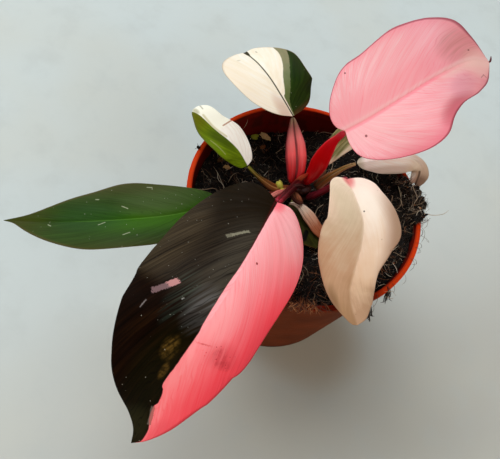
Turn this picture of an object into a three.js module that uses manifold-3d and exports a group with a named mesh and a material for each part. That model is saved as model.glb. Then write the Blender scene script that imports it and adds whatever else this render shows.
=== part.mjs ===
// A young pink princess philodendron in a 12 cm nursery pot.
// Millimetres, +Z up. The origin is on the pot's axis, on the face that the pot stands on.
// The front of the plant, where its largest leaf hangs over the rim, is towards -Y.

import * as THREE from 'three';
import { mergeVertices } from 'three/addons/utils/BufferGeometryUtils.js';
import Module from 'manifold-3d';

const wasm = await Module();
wasm.setup();

// ---- Driving dimensions ---------------------------------------------------------------

const POT_DIAMETER = 120;      // over the rim
const POT_HEIGHT = 98;
const POT_FOOT_DIAMETER = 92;
const POT_WALL = 1.2;
const POT_FLOOR = 1.6;
const RIM_WIDTH = 2.6;
const RIM_DEPTH = 3.2;
const RIM_ROUNDING = 0.6;
const FOOT_ROUNDING = 1;
const HOLE_COUNT = 8;          // drainage holes through the floor
const HOLE_DIAMETER = 8;
const HOLE_CIRCLE = 31;        // radius that they stand on

const SOIL_LEVEL = 92.5;       // along the wall, before the slopes and hollows
const STEM_FOOT = [-3, 12];    // the plant stands a little behind the pot's middle
const STEM_RADIUS = 4.6;
const STEM_TOP = 90;
const STEM_BOTTOM = 62;        // rooted end, inside the soil
const STEM_NODES = [66, 74, 82]; // heights of the rings that old leaves left

const BLADE_THICKNESS = 0.8;
const CLEARANCE = 0.3;         // between neighbours that touch on the plant
const CUT_CLEARANCE = 0.45;    // where curved faces cut each other

// ---- Helpers --------------------------------------------------------------------------

const UP = new THREE.Vector3(0, 0, 1);
const vector = ([x, y, z = 0]) => new THREE.Vector3(x, y, z);
const radians = THREE.MathUtils.degToRad;
const curveThrough = (points) => new THREE.CatmullRomCurve3(points.map(vector), false, 'centripetal');

/** A value that changes along a leaf or stalk: even stops from its base (0) to its tip (1). */
function along(stops, place) {
  const last = stops.length - 1;
  const spot = THREE.MathUtils.clamp(place, 0, 1) * last;
  const stop = Math.min(Math.floor(spot), last - 1);
  return THREE.MathUtils.lerp(stops[stop], stops[stop + 1], spot - stop);
}

function geometryFrom(points, triangles) {
  const geometry = new THREE.BufferGeometry();
  geometry.setAttribute('position', new THREE.Float32BufferAttribute(points.flatMap((p) => p.toArray()), 3));
  geometry.setIndex(triangles.flat());
  return geometry;
}

function solidFrom(geometry) {
  const bare = geometry.clone();
  bare.deleteAttribute('normal');
  bare.deleteAttribute('uv');
  const merged = mergeVertices(bare, 1e-4);
  return new wasm.Manifold(new wasm.Mesh({
    numProp: 3,
    vertProperties: new Float32Array(merged.attributes.position.array),
    triVerts: new Uint32Array(merged.index.array),
  }));
}

function geometryOf(solid) {
  const mesh = solid.getMesh();
  const geometry = new THREE.BufferGeometry();
  geometry.setAttribute('position', new THREE.Float32BufferAttribute(mesh.vertProperties, 3));
  geometry.setIndex([...mesh.triVerts]);
  return geometry;
}

/** The solid with its neighbours, each already grown by the clearance, taken out of it. */
const clearOf = (solid, ...neighbours) => neighbours.reduce((rest, other) => rest.subtract(other), solid);

// ---- Pot ------------------------------------------------------------------------------

/** Outer radius of the tapered wall at a height. */
const potRadius = (z) => THREE.MathUtils.lerp(POT_FOOT_DIAMETER, POT_DIAMETER - 2 * RIM_WIDTH + 2 * POT_WALL,
  z / POT_HEIGHT) / 2;

/** The moulded shell: flat floor, tapered wall, and a rim that stands out all round. */
function potShell(grow = 0) {
  const rim = POT_DIAMETER / 2 + grow;
  const top = POT_HEIGHT + grow;
  const underRim = POT_HEIGHT - RIM_DEPTH - grow;
  const floor = POT_FLOOR + grow;
  const inside = (z) => potRadius(z) - POT_WALL - grow;
  const profile = [
    [0, -grow],
    [potRadius(0) - FOOT_ROUNDING + grow, -grow],
    [potRadius(FOOT_ROUNDING) + grow, FOOT_ROUNDING - grow],
    [potRadius(underRim) + grow, underRim],
    [rim, underRim],
    [rim, top - RIM_ROUNDING],
    [rim - RIM_ROUNDING, top],
    [inside(POT_HEIGHT), top],
    [inside(floor + FOOT_ROUNDING), floor + FOOT_ROUNDING],
    [inside(floor) - FOOT_ROUNDING, floor],
    [0, floor],
  ];
  const shell = new THREE.LatheGeometry(profile.map(([r, z]) => new THREE.Vector2(r, z)), 48);
  return solidFrom(shell.rotateX(Math.PI / 2));
}

function pot() {
  const cutter = new THREE.CylinderGeometry(HOLE_DIAMETER / 2, HOLE_DIAMETER / 2, 4 * POT_FLOOR, 12);
  cutter.rotateX(Math.PI / 2);
  let shell = potShell();
  for (let hole = 0; hole < HOLE_COUNT; hole += 1) {
    const turn = (2 * Math.PI * hole) / HOLE_COUNT;
    const placed = cutter.clone().translate(HOLE_CIRCLE * Math.cos(turn), HOLE_CIRCLE * Math.sin(turn), 0);
    shell = shell.subtract(solidFrom(placed));
  }
  return shell;
}

// ---- Stem -----------------------------------------------------------------------------

/** The short stem, a little thicker at each node, rooted in the soil. */
function stem(grow = 0) {
  const bark = STEM_RADIUS + grow;
  const ring = bark + 0.5;
  const end = 0.6 * STEM_RADIUS + grow;
  const profile = [[0, STEM_BOTTOM - grow], [end, STEM_BOTTOM - grow]];
  for (const z of STEM_NODES) profile.push([bark, z], [ring, z + 1], [bark, z + 2]);
  profile.push([bark, STEM_TOP - 2], [end, STEM_TOP + grow], [0, STEM_TOP + grow]);
  const turned = new THREE.LatheGeometry(profile.map(([r, z]) => new THREE.Vector2(r, z)), 12);
  return solidFrom(turned.rotateX(Math.PI / 2).translate(STEM_FOOT[0], STEM_FOOT[1], 0));
}

// ---- Soil -----------------------------------------------------------------------------

const BACK_HOLLOW = { at: [-24, 46], depth: 10, spread: 22 };
const RIGHT_HEAP = { at: [56, 22], depth: -5, spread: 13 };
const MIDDLE_DISH = 8;         // how far the middle lies below the wall
const CRUMB_HEIGHT = 0.9;

/** Height of the loose mix: it slopes with the pot, hollow at the back and heaped at the right. */
function soilTop(x, y) {
  const wall = POT_DIAMETER / 2;
  const dish = MIDDLE_DISH * (1 - (x * x + y * y) / (wall * wall));
  let z = SOIL_LEVEL + 0.04 * x - 0.01 * y - dish;
  for (const { at, depth, spread } of [BACK_HOLLOW, RIGHT_HEAP]) {
    z -= depth * Math.exp(-((x - at[0]) ** 2 + (y - at[1]) ** 2) / (2 * spread * spread));
  }
  const lumps = Math.sin(0.71 * x + 1.7 * Math.sin(0.33 * y)) * Math.sin(0.63 * y + 1.3 * Math.sin(0.41 * x));
  return z + CRUMB_HEIGHT * lumps;
}

/** Clods that lie over the rim at the right: place round the pot in degrees, radius, size. */
const CLODS = [
  { turn: 13, out: 57.5, size: 3.8 },
  { turn: 20, out: 58.5, size: 4.6 },
  { turn: 27, out: 58, size: 4.4 },
  { turn: 33, out: 55.5, size: 4 },
];

function soil() {
  const turns = 40;
  const rings = 12;
  const bottom = POT_FLOOR + CLEARANCE;
  const wallRadius = (z) => potRadius(z) - POT_WALL - CLEARANCE;
  const points = [new THREE.Vector3(0, 0, soilTop(0, 0)), new THREE.Vector3(0, 0, bottom)];
  const triangles = [];
  const place = (ring, turn) => 2 + ring * turns + (turn % turns);
  for (let ring = 1; ring <= rings; ring += 1) {
    for (let turn = 0; turn < turns; turn += 1) {
      const angle = (2 * Math.PI * turn) / turns;
      const reach = (wallRadius(SOIL_LEVEL) * ring) / rings;
      const [x, y] = [reach * Math.cos(angle), reach * Math.sin(angle)];
      const z = soilTop(x, y);
      const fit = ring === rings ? wallRadius(Math.min(z, POT_HEIGHT)) / reach : 1;
      points.push(new THREE.Vector3(x * fit, y * fit, z));
    }
  }
  for (let turn = 0; turn < turns; turn += 1) {
    const angle = (2 * Math.PI * turn) / turns;
    const reach = wallRadius(bottom) - 1;
    points.push(new THREE.Vector3(reach * Math.cos(angle), reach * Math.sin(angle), bottom));
  }
  for (let turn = 0; turn < turns; turn += 1) {
    triangles.push([0, place(0, turn), place(0, turn + 1)]);
    triangles.push([1, place(rings, turn + 1), place(rings, turn)]);
    for (let ring = 0; ring < rings; ring += 1) {
      const [a, b] = [place(ring, turn), place(ring, turn + 1)];
      const [c, d] = [place(ring + 1, turn), place(ring + 1, turn + 1)];
      triangles.push([a, c, d], [a, d, b]);
    }
  }
  let heap = solidFrom(geometryFrom(points, triangles));
  for (const { turn, out, size } of CLODS) {
    const clod = new THREE.IcosahedronGeometry(size, 1).scale(1, 1, 0.6);
    const [x, y] = [out * Math.cos(radians(turn)), out * Math.sin(radians(turn))];
    heap = heap.add(solidFrom(clod.translate(x, y, POT_HEIGHT + 0.3)));
  }
  return clearOf(heap, potShell(CLEARANCE), stem(CLEARANCE));
}

// ---- Leaf blades ----------------------------------------------------------------------

// A blade is drawn flat and then bent. In the flat, the midrib is a straight line from the
// stalk (0) to the tip, `right` and `left` are the margins as [along, across] on each side
// of it, looking from the base to the tip from above, and a lobe behind the stalk has a
// negative `along`. `midrib` is the line in space that the flat midrib follows. Each half
// leaves it at `fold` degrees upwards and turns by `curl` degrees in CURL_SPAN of width.
// `roll` turns the whole blade about its midrib, and `wave` ripples the margins.

const CURL_SPAN = 30;
const VEIN_SWEEP = 1.7;        // how strongly side veins lean towards the tip

const BLADES = {
  half_moon: {
    colour: '#5c2b31',
    columns: 22,
    rows: 5,
    midrib: [[-14.3, -24.4, 120], [-16.3, -48, 130], [-19.4, -73, 136], [-23, -91.5, 135],
      [-28, -106, 128], [-31.4, -117.4, 115], [-33, -126.3, 103], [-35.4, -134, 92]],
    right: [[-8, 7.5], [-11.5, 17], [-2, 28], [15, 36], [33, 39], [54, 39], [83, 35], [100, 26.5],
      [114, 14.5], [127, 3.5]],
    left: [[-5.5, -9], [0, -20], [10, -27.5], [25, -30.5], [42, -29], [60, -26.5], [80, -25], [96, -22],
      [110, -17], [124, -8]],
    fold: { right: [-4, -2, 2, 6], left: [-22, -24, -24, -10] },
    curl: { right: [-30, -30, -28, -20], left: [-34, -36, -34, -20] },
    wave: { height: 1.2, length: 52, start: 0.1 },
  },
  pink: {
    colour: '#f0a2a6',
    columns: 22,
    rows: 4,
    midrib: [[5, 24, 126], [12, 30, 131], [24, 43, 139], [39, 63, 144], [53, 81, 144], [65, 91, 140]],
    right: [[-1, 7], [0.5, 13.5], [8, 20], [20, 25.5], [33, 28], [44, 26.5], [52.5, 21.5], [62, 18],
      [77, 16.5], [88, 12]],
    left: [[-3, -3.5], [-3.5, -9], [0.5, -17], [8, -24.5], [18, -28.5], [29, -29.5], [48.5, -29.5],
      [66, -27], [77, -22], [83, -13]],
    fold: { right: [8, 8, 6, 4], left: [8, 8, 8, 4] },
    curl: { right: [-15, -15, -20, -20], left: [-8, -8, -12, -15] },
    roll: [-25, -25, -25, -20],
    wave: { height: 1.6, length: 46, start: 0.35 },
  },
  cream_front: {
    colour: '#e2cbb0',
    columns: 18,
    rows: 4,
    midrib: [[13.2, 2.4, 119], [18.6, -8.8, 123], [25, -19.6, 122], [27.5, -28.8, 118], [28.5, -38, 113],
      [30, -46, 107], [34, -51.8, 102], [39, -56, 97]],
    right: [[0.5, 6], [5, 10.5], [12, 13.5], [21, 18], [34, 20.5], [46, 18.5], [56, 13], [67, 5]],
    left: [[1.5, -6.5], [6, -10.5], [14, -12.5], [24, -15.5], [30, -16.5], [37, -13], [46, -10],
      [60, -10], [69, -7]],
    fold: { right: [20, 20, 15], left: [20, 20, 15] },
    curl: { right: [-30, -30, -30], left: [-30, -30, -30] },
  },
  cream_green: {
    colour: '#d9cdb0',
    columns: 14,
    rows: 4,
    midrib: [[-20.8, 34.4, 112], [-29.4, 38.2, 118], [-38.4, 44.6, 121], [-47, 51.3, 121], [-56, 58.8, 118]],
    right: [[-0.5, 7], [1.5, 15], [9, 21.5], [20, 21.5], [32, 21.5], [41, 15], [46, 6]],
    left: [[4, -5.5], [8.5, -11], [15, -17], [25, -20], [35, -20], [42, -15.5], [45.5, -7]],
    fold: { right: [8, 8, 8], left: [8, 8, 8] },
    curl: { right: [-15, -15, -15], left: [-15, -15, -15] },
  },
  green: {
    colour: '#2f4f25',
    columns: 16,
    rows: 3,
    midrib: [[-40, -28.4, 106], [-57, -41.6, 106], [-72.7, -49.5, 104], [-89, -55.4, 100],
      [-111.7, -60.2, 91], [-131.3, -60.7, 80]],
    right: [[-1, 5], [4, 9], [13, 13], [24, 16.5], [35, 18], [49, 17], [64, 13.5], [79, 8], [93, 3]],
    left: [[0, -5], [6, -9.5], [16, -12.5], [28, -14], [46, -15], [58, -14.5], [73, -11], [87, -5.5],
      [97, -1.5]],
    fold: { right: [10, 10], left: [10, 10] },
    curl: { right: [-20, -20], left: [-20, -20] },
    wave: { height: 2, length: 34, start: 0 },
  },
  lime: {
    colour: '#93a35a',
    columns: 12,
    rows: 3,
    midrib: [[-33.7, 6.2, 97], [-40.2, 9.9, 101], [-47, 11.6, 104], [-56.5, 13.3, 106], [-64.5, 17, 108],
      [-69, 19, 108]],
    right: [[1.5, 3.5], [7.5, 6.7], [16, 10], [27, 9.2], [36, 7], [39.5, 3]],
    left: [[1, -5], [7, -10], [14.5, -12.5], [24, -10.5], [33, -6.5], [38, -3]],
    fold: { right: [15, 15], left: [15, 15] },
    curl: { right: [-15, -15], left: [-15, -15] },
  },
  drooping: {
    colour: '#bcae97',
    columns: 16,
    rows: 3,
    midrib: [[18.5, 27, 104], [26.5, 30.2, 107], [38.9, 37.7, 107], [46.5, 42, 105.5], [51.5, 42.6, 102],
      [53.4, 41, 99], [53.4, 38.8, 97], [52.8, 36.2, 95.3]],
    right: [[2, 3], [7, 5.6], [14, 7.8], [23, 8.5], [31, 7.8], [38, 6], [44, 4.5], [49, 3], [52, 1.5]],
    left: [[2, -5], [8, -9], [16, -11], [26, -10.5], [35, -8], [42, -6], [48, -4], [52, -2]],
    fold: { right: [-40, -50, -45, -10], left: [-25, -30, -25, 0] },
    curl: { right: [-40, -40, -30, 0], left: [-40, -40, -30, 0] },
  },
  striped: {
    colour: '#8a8560',
    columns: 12,
    rows: 3,
    midrib: [[3.4, 24.6, 98], [7, 32, 103], [12, 41, 107], [19, 52, 109], [26, 63, 108]],
    right: [[0.5, 2], [4, 3.2], [9, 4.3], [14, 5.4], [23, 6.5], [33, 5.5], [42, 2]],
    left: [[0.5, -2.5], [4, -4.5], [9, -6.5], [16, -8], [25, -8], [34, -6], [42, -2]],
    fold: { right: [10, 10], left: [6, 6] },
    curl: { right: [-20, -20], left: [-20, -20] },
  },
  low: {
    colour: '#33471f',
    columns: 10,
    rows: 3,
    midrib: [[-6, -1.5, 90.5], [0, -8, 91], [6, -14, 90.8], [13, -21, 89.6]],
    right: [[1, 4], [6, 8.5], [13, 10.5], [20, 8.5], [25, 3.5]],
    left: [[1, -3.5], [6, -6.5], [13, -7.5], [20, -6], [25, -2.5]],
    fold: { right: [6, 6], left: [6, 6] },
    curl: { right: [-25, -25], left: [-25, -25] },
  },
};

/** Where a point of the flat blade lies in space. */
function bladePoint(blade, midrib, length, a, b) {
  const place = THREE.MathUtils.clamp(a / length, 0, 1);
  const ahead = midrib.getTangentAt(place);
  const level = new THREE.Vector3().crossVectors(ahead, UP).normalize();
  const above = new THREE.Vector3().crossVectors(level, ahead);
  const side = b < 0 ? 'left' : 'right';
  const roll = radians(along(blade.roll ?? [0, 0], place));
  const fold = radians(along(blade.fold[side], place));
  const turn = radians(along(blade.curl[side], place)) / CURL_SPAN || 1e-9;
  const width = Math.abs(b);
  const { height, length: ripple, start } = blade.wave ?? { height: 0, length: 1, start: 0 };
  const outwards = (Math.sin(fold + turn * width) - Math.sin(fold)) / turn;
  const upwards = (Math.cos(fold) - Math.cos(fold + turn * width)) / turn
    + height * Math.sin(2 * Math.PI * (a / ripple + start)) * (width / CURL_SPAN) ** 2;
  const across = b < 0 ? -outwards : outwards;
  return midrib.getPointAt(place)
    .addScaledVector(ahead, a - place * length)
    .addScaledVector(level, across * Math.cos(roll) - upwards * Math.sin(roll))
    .addScaledVector(above, across * Math.sin(roll) + upwards * Math.cos(roll));
}

/** One thin blade: a bent sheet of columns along its side veins, given its thickness. */
function bladeSolid(blade, grow = 0) {
  const { columns, rows } = blade;
  const midrib = curveThrough(blade.midrib);
  const length = midrib.getLength();
  const margins = { right: curveThrough([[0, 0], ...blade.right, [length, 0]]),
    left: curveThrough([[0, 0], ...blade.left, [length, 0]]) };
  const across = 2 * rows + 1;
  const sheet = [bladePoint(blade, midrib, length, 0, 0)];
  for (let column = 1; column < columns; column += 1) {
    const foot = new THREE.Vector3(length * (column / columns) ** VEIN_SWEEP, 0, 0);
    for (let row = -rows; row <= rows; row += 1) {
      const margin = margins[row < 0 ? 'left' : 'right'].getPointAt(column / columns);
      const flat = foot.clone().lerp(margin, Math.abs(row) / rows);
      sheet.push(bladePoint(blade, midrib, length, flat.x, flat.y));
    }
  }
  const tip = sheet.push(bladePoint(blade, midrib, length, length, 0)) - 1;

  const at = (column, row) => 1 + (column - 1) * across + row;
  const faces = [];
  for (let row = 0; row < across - 1; row += 1) {
    faces.push([0, at(1, row), at(1, row + 1)]);
    faces.push([tip, at(columns - 1, row + 1), at(columns - 1, row)]);
    for (let column = 1; column < columns - 1; column += 1) {
      faces.push([at(column, row), at(column + 1, row), at(column + 1, row + 1)]);
      faces.push([at(column, row), at(column + 1, row + 1), at(column, row + 1)]);
    }
  }
  const rim = [0];
  for (let column = 1; column < columns; column += 1) rim.push(at(column, 0));
  rim.push(tip);
  for (let column = columns - 1; column > 0; column -= 1) rim.push(at(column, across - 1));

  const normals = sheet.map(() => new THREE.Vector3());
  for (const [i, j, k] of faces) {
    const face = sheet[j].clone().sub(sheet[i]).cross(sheet[k].clone().sub(sheet[i]));
    for (const corner of [i, j, k]) normals[corner].add(face);
  }
  const half = BLADE_THICKNESS / 2 + grow;
  const upper = sheet.map((p, i) => p.clone().addScaledVector(normals[i].normalize(), half));
  const lower = sheet.map((p, i) => p.clone().addScaledVector(normals[i], -half));
  const under = sheet.length;
  const triangles = [...faces, ...faces.map(([i, j, k]) => [i + under, k + under, j + under])];
  rim.forEach((here, step) => {
    const next = rim[(step + 1) % rim.length];
    triangles.push([here, here + under, next + under], [here, next + under, next]);
  });
  return solidFrom(geometryFrom([...upper, ...lower], triangles));
}

// ---- Stalks and sheaths ---------------------------------------------------------------

// `path` runs from the stem outwards, `width` and `depth` are half sizes with even stops
// along it, and `face` is the side that the groove of the stalk is on.

const STALKS = {
  pink: {
    colour: '#c01b22',
    path: [[0, 14.5, 90.6], [0.5, 18.9, 95.5], [0.4, 21.3, 103], [1.1, 22.8, 110], [2.1, 23.7, 116],
      [3.9, 24.4, 121], [5, 24.4, 124.4]],
    width: [3.8, 4.2, 4.2, 4, 3.2, 1.9, 1.6],
    depth: [2.6, 2.4, 2.2, 2, 1.8, 1.5, 1.3],
    face: [0.3, 0.9, 0.4],
    groove: 0.8,
  },
  cream_green: {
    colour: '#d3696b',
    path: [[-8.2, 11.5, 90], [-9.6, 17, 94], [-13.2, 24.3, 100], [-17.8, 31.2, 106], [-20.5, 34, 111]],
    width: [3, 5.2, 6, 4.4, 1.5],
    depth: [2, 2.6, 2.8, 2.2, 1.3],
    face: [0.2, -0.5, 0.85],
    groove: 1.3,
  },
  half_moon: {
    colour: '#7a1d24',
    path: [[-4.5, 12.5, 92.5], [-6, 8, 97.5], [-9.8, -5.5, 106], [-12.8, -17.9, 114], [-13.7, -22.2, 117.4]],
    width: [4.4, 3.6, 2.6, 2.4, 2.2],
    depth: [2, 2, 2, 1.9, 1.6],
    face: [0, 0.4, 0.9],
    groove: 0.6,
  },
  cream_front: {
    colour: '#6d1a22',
    path: [[1.6, 8, 88], [4.4, 5.4, 96], [8.1, 4.7, 105], [10.5, 3.8, 112.5], [12.9, 3.2, 118.1]],
    width: [2.6, 2.3, 2, 1.8, 1.6],
    depth: [1.9, 1.8, 1.7, 1.6, 1.4],
    face: [0.8, -0.5, 0.3],
    groove: 0.5,
  },
  drooping: {
    colour: '#8d7747',
    path: [[3.4, 14.5, 89.5], [8.2, 20.1, 95], [14.2, 25.3, 100], [18, 26.8, 103.3]],
    width: [2.6, 2.4, 1.3, 0.9],
    depth: [1.6, 1.4, 1, 0.8],
    face: [-0.2, -0.3, 0.9],
    groove: 0.4,
  },
  striped: {
    colour: '#6d6a3e',
    path: [[2.6, 17.5, 88], [4.8, 22.5, 92], [3.7, 24.4, 97]],
    width: [2, 1.7, 1.2],
    depth: [1.4, 1.3, 1],
    face: [0.5, 0.5, 0.7],
    groove: 0.3,
  },
  lime: {
    colour: '#8a5a35',
    path: [[-8.4, 9, 87.5], [-16.4, 5, 88.7], [-22.5, 4.8, 91], [-28, 5, 94], [-33, 6, 96.6]],
    width: [2.2, 2.8, 2.2, 1.1, 0.9],
    depth: [1.6, 1.5, 1.3, 1, 0.8],
    face: [-0.2, -0.2, 0.95],
    groove: 0.5,
  },
  green: {
    colour: '#6b3328',
    path: [[-7.5, 7, 87], [-14, 0, 91], [-24, -10, 98], [-33, -21, 103.5], [-39.4, -27.8, 105.6]],
    width: [2.4, 2, 1.8, 1.6, 1.4],
    depth: [1.8, 1.7, 1.5, 1.4, 1.1],
    face: [-0.3, -0.3, 0.9],
    groove: 0.4,
  },
  low: {
    colour: '#7a6a3c',
    path: [[-3.6, 7, 86.5], [-5, 2.5, 88.7], [-5.6, -0.4, 89.6]],
    width: [1.8, 1.5, 1.2],
    depth: [1.4, 1.2, 0.9],
    face: [-0.3, -0.3, 0.9],
    groove: 0.3,
  },
};

const SHEATHS = {
  sheath_dry: {
    colour: '#c3a184',
    path: [[-4.4, 1.5, 94.4], [-2.6, -3, 95.4], [2, -5.6, 95.5], [7.4, -9, 94.8], [12.4, -12.6, 93.6],
      [14.4, -14, 93]],
    width: [3, 4.4, 4.6, 4.2, 4, 3],
    depth: [0.5, 0.5, 0.5, 0.5, 0.5, 0.4],
    face: [0, 0, 1],
    bow: -0.9,
  },
  sheath_curl: {
    colour: '#5d3a29',
    path: [[-5.6, 4.6, 96.6], [-5, 1, 97.8], [-2.6, -2, 97.4]],
    width: [1.6, 1.9, 1.5],
    depth: [1.2, 1.5, 1.2],
    face: [0, 0.2, 1],
    groove: 0.7,
  },
  sheath_flap: {
    colour: '#b56b62',
    path: [[-13, 0, 104.6], [-16, -8.5, 111.5], [-18.4, -19.5, 120]],
    width: [1.4, 1.7, 1.5],
    depth: [0.6, 0.5, 0.4],
    face: [0, 0.3, 1],
    bow: -0.3,
  },
};

/** A solid drawn along a path: an oval section with a groove, or a bowed strip. */
function stalkSolid({ path, width, depth, face, groove = 0, bow = 0 }, grow = 0) {
  const steps = 2 * (path.length - 1);
  const sides = 12;
  const curve = curveThrough(path);
  const points = [];
  const triangles = [];
  for (let step = 0; step <= steps; step += 1) {
    const place = step / steps;
    const centre = curve.getPointAt(place);
    const ahead = curve.getTangentAt(place);
    const front = vector(face).addScaledVector(ahead, -vector(face).dot(ahead)).normalize();
    const across = new THREE.Vector3().crossVectors(front, ahead);
    const [w, d] = [along(width, place), along(depth, place)];
    if (step === 0) points.push(centre.clone().addScaledVector(ahead, -0.5 * d - grow));
    for (let side = 0; side < sides; side += 1) {
      const angle = (2 * Math.PI * side) / sides;
      const x = Math.cos(angle);
      const dip = Math.sin(angle) > 0 ? groove * Math.exp(-((x / 0.3) ** 2)) : 0;
      points.push(centre.clone().addScaledVector(across, (w + grow) * x)
        .addScaledVector(front, (d + grow) * Math.sin(angle) - dip + bow * x * x));
    }
    if (step === steps) points.push(centre.clone().addScaledVector(ahead, 0.5 * d + grow));
  }
  const last = points.length - 1;
  const at = (step, side) => 1 + step * sides + (side % sides);
  for (let side = 0; side < sides; side += 1) {
    triangles.push([0, at(0, side + 1), at(0, side)], [last, at(steps, side), at(steps, side + 1)]);
    for (let step = 0; step < steps; step += 1) {
      triangles.push([at(step, side), at(step + 1, side + 1), at(step + 1, side)]);
      triangles.push([at(step, side), at(step, side + 1), at(step + 1, side + 1)]);
    }
  }
  return solidFrom(geometryFrom(points, triangles));
}

/** The side shoot's bud, a pointed egg in the angle of the lime leaf's stalk. */
function bud() {
  const profile = [[0, 0], [1.6, 0.4], [2.5, 2.2], [2.6, 4], [1.8, 6], [0.7, 7.4], [0, 7.8]];
  const turned = new THREE.LatheGeometry(profile.map(([r, z]) => new THREE.Vector2(r, z)), 12);
  turned.rotateX(Math.PI / 2).rotateX(radians(-12)).rotateY(radians(-30));
  return solidFrom(turned.translate(-13.4, 7.4, 87.4));
}

// ---- Assembly -------------------------------------------------------------------------

const plant = new THREE.Group();

function addNode(name, solid, color, roughness) {
  const finish = new THREE.MeshStandardMaterial({ color, roughness, metalness: 0 });
  const mesh = new THREE.Mesh(geometryOf(solid), finish);
  mesh.name = name;
  plant.add(mesh);
}

addNode('pot', pot(), '#8f3f1e', 0.45);
addNode('soil', soil(), '#1d1512', 0.95);
addNode('stem', stem(), '#4a3a22', 0.6);

for (const [name, blade] of Object.entries(BLADES)) {
  addNode(`blade_${name}`, bladeSolid(blade), blade.colour, 0.4);
}

// The stalks crowd round the stem's top. Each one is cut clear of the stem, of its own
// blade, and of the stalks that are listed before it, which clasp it or stand against it.
const placed = [stem(CLEARANCE)];
for (const [name, stalk] of Object.entries(STALKS)) {
  const ownBlade = bladeSolid(BLADES[name], CUT_CLEARANCE);
  addNode(`stalk_${name}`, clearOf(stalkSolid(stalk), ownBlade, ...placed), stalk.colour, 0.45);
  placed.push(stalkSolid(stalk, CUT_CLEARANCE));
}
for (const [name, sheath] of Object.entries(SHEATHS)) {
  addNode(name, clearOf(stalkSolid(sheath), ...placed), sheath.colour, 0.8);
  placed.push(stalkSolid(sheath, CUT_CLEARANCE));
}
addNode('bud', clearOf(bud(), ...placed), '#a8a63c', 0.5);

export default plant;
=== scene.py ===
# %% [markdown]
# # A pink princess philodendron in its nursery pot
#
# The plant is nine variegated leaves on red and olive stalks, a bud and some dried sheaths, standing in
# potting mix in a thin plastic pot. The CAD frame gives every piece its place and size. This lesson gives
# each piece a finer shape that follows the same rule as its CAD solid, and then its paint.

# %% Load the frame
import math

import bmesh
import bpy
import numpy as np
from mathutils import Matrix, Vector, noise


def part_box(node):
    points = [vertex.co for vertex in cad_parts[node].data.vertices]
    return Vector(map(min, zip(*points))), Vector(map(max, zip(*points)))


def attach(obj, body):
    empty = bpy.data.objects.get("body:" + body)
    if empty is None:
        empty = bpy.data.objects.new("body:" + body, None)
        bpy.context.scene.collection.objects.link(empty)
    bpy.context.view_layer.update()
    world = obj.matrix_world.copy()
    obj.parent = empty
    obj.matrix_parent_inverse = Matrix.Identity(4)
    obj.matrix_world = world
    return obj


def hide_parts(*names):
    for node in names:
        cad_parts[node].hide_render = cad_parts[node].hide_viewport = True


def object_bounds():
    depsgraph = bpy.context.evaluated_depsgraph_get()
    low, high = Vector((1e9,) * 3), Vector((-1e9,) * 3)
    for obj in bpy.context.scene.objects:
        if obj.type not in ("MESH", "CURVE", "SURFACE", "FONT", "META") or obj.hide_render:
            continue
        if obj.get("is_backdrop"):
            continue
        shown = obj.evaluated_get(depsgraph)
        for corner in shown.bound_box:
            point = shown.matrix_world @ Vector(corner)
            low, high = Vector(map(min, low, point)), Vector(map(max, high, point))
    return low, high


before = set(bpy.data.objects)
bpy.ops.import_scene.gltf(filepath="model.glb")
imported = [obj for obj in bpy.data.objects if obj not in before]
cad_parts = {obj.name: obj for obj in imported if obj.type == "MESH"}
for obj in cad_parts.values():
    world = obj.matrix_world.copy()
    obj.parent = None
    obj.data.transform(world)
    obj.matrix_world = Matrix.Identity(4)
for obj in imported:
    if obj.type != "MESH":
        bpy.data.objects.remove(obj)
CAD_BOX = [list(corner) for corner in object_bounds()]
MM = 0.001
scene = bpy.context.scene


def show(piece):
    scene.collection.objects.link(piece)
    return piece


print("CAD box in mm:", [[round(x / MM, 1) for x in corner] for corner in CAD_BOX])

# %% [markdown]
# ## The camera
#
# A plant in a pot is looked at from above, standing up. The camera is placed first, so that every later
# render can be judged. It has no sideways shift: its place, its slope and its roll are enough.

# %% Camera
CAMERA_PLACE = Vector((-21.2, -166.0, 323.9)) * MM
CAMERA_SLOPE = math.radians(58.8)    # below the horizon
CAMERA_ROLL = math.radians(20.4)
LENS = 40.3                          # on a 36 mm wide sensor

camera = bpy.data.objects.new("camera", bpy.data.cameras.new("camera"))
camera.data.lens = LENS
camera.data.clip_start = 0.01
looking = Matrix.Rotation(math.pi / 2 - CAMERA_SLOPE, 4, "X") @ Matrix.Rotation(CAMERA_ROLL, 4, "Z")
camera.matrix_world = Matrix.Translation(CAMERA_PLACE) @ looking
scene.camera = show(camera)
scene.view_settings.view_transform = "Standard"
print("camera", round((CAMERA_PLACE - Vector((0, 0, 98 * MM))).length / MM), "mm from the rim's centre")

# %% [markdown]
# ## Formulas on sockets
#
# A node tree can be drawn by hand, but a pattern that is worked out in millimetres is easier to read as a
# formula. This small class wraps one socket. Sums on it add Math nodes, and `node` adds any other node.
# Materials and Geometry Nodes trees both use it.

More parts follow.
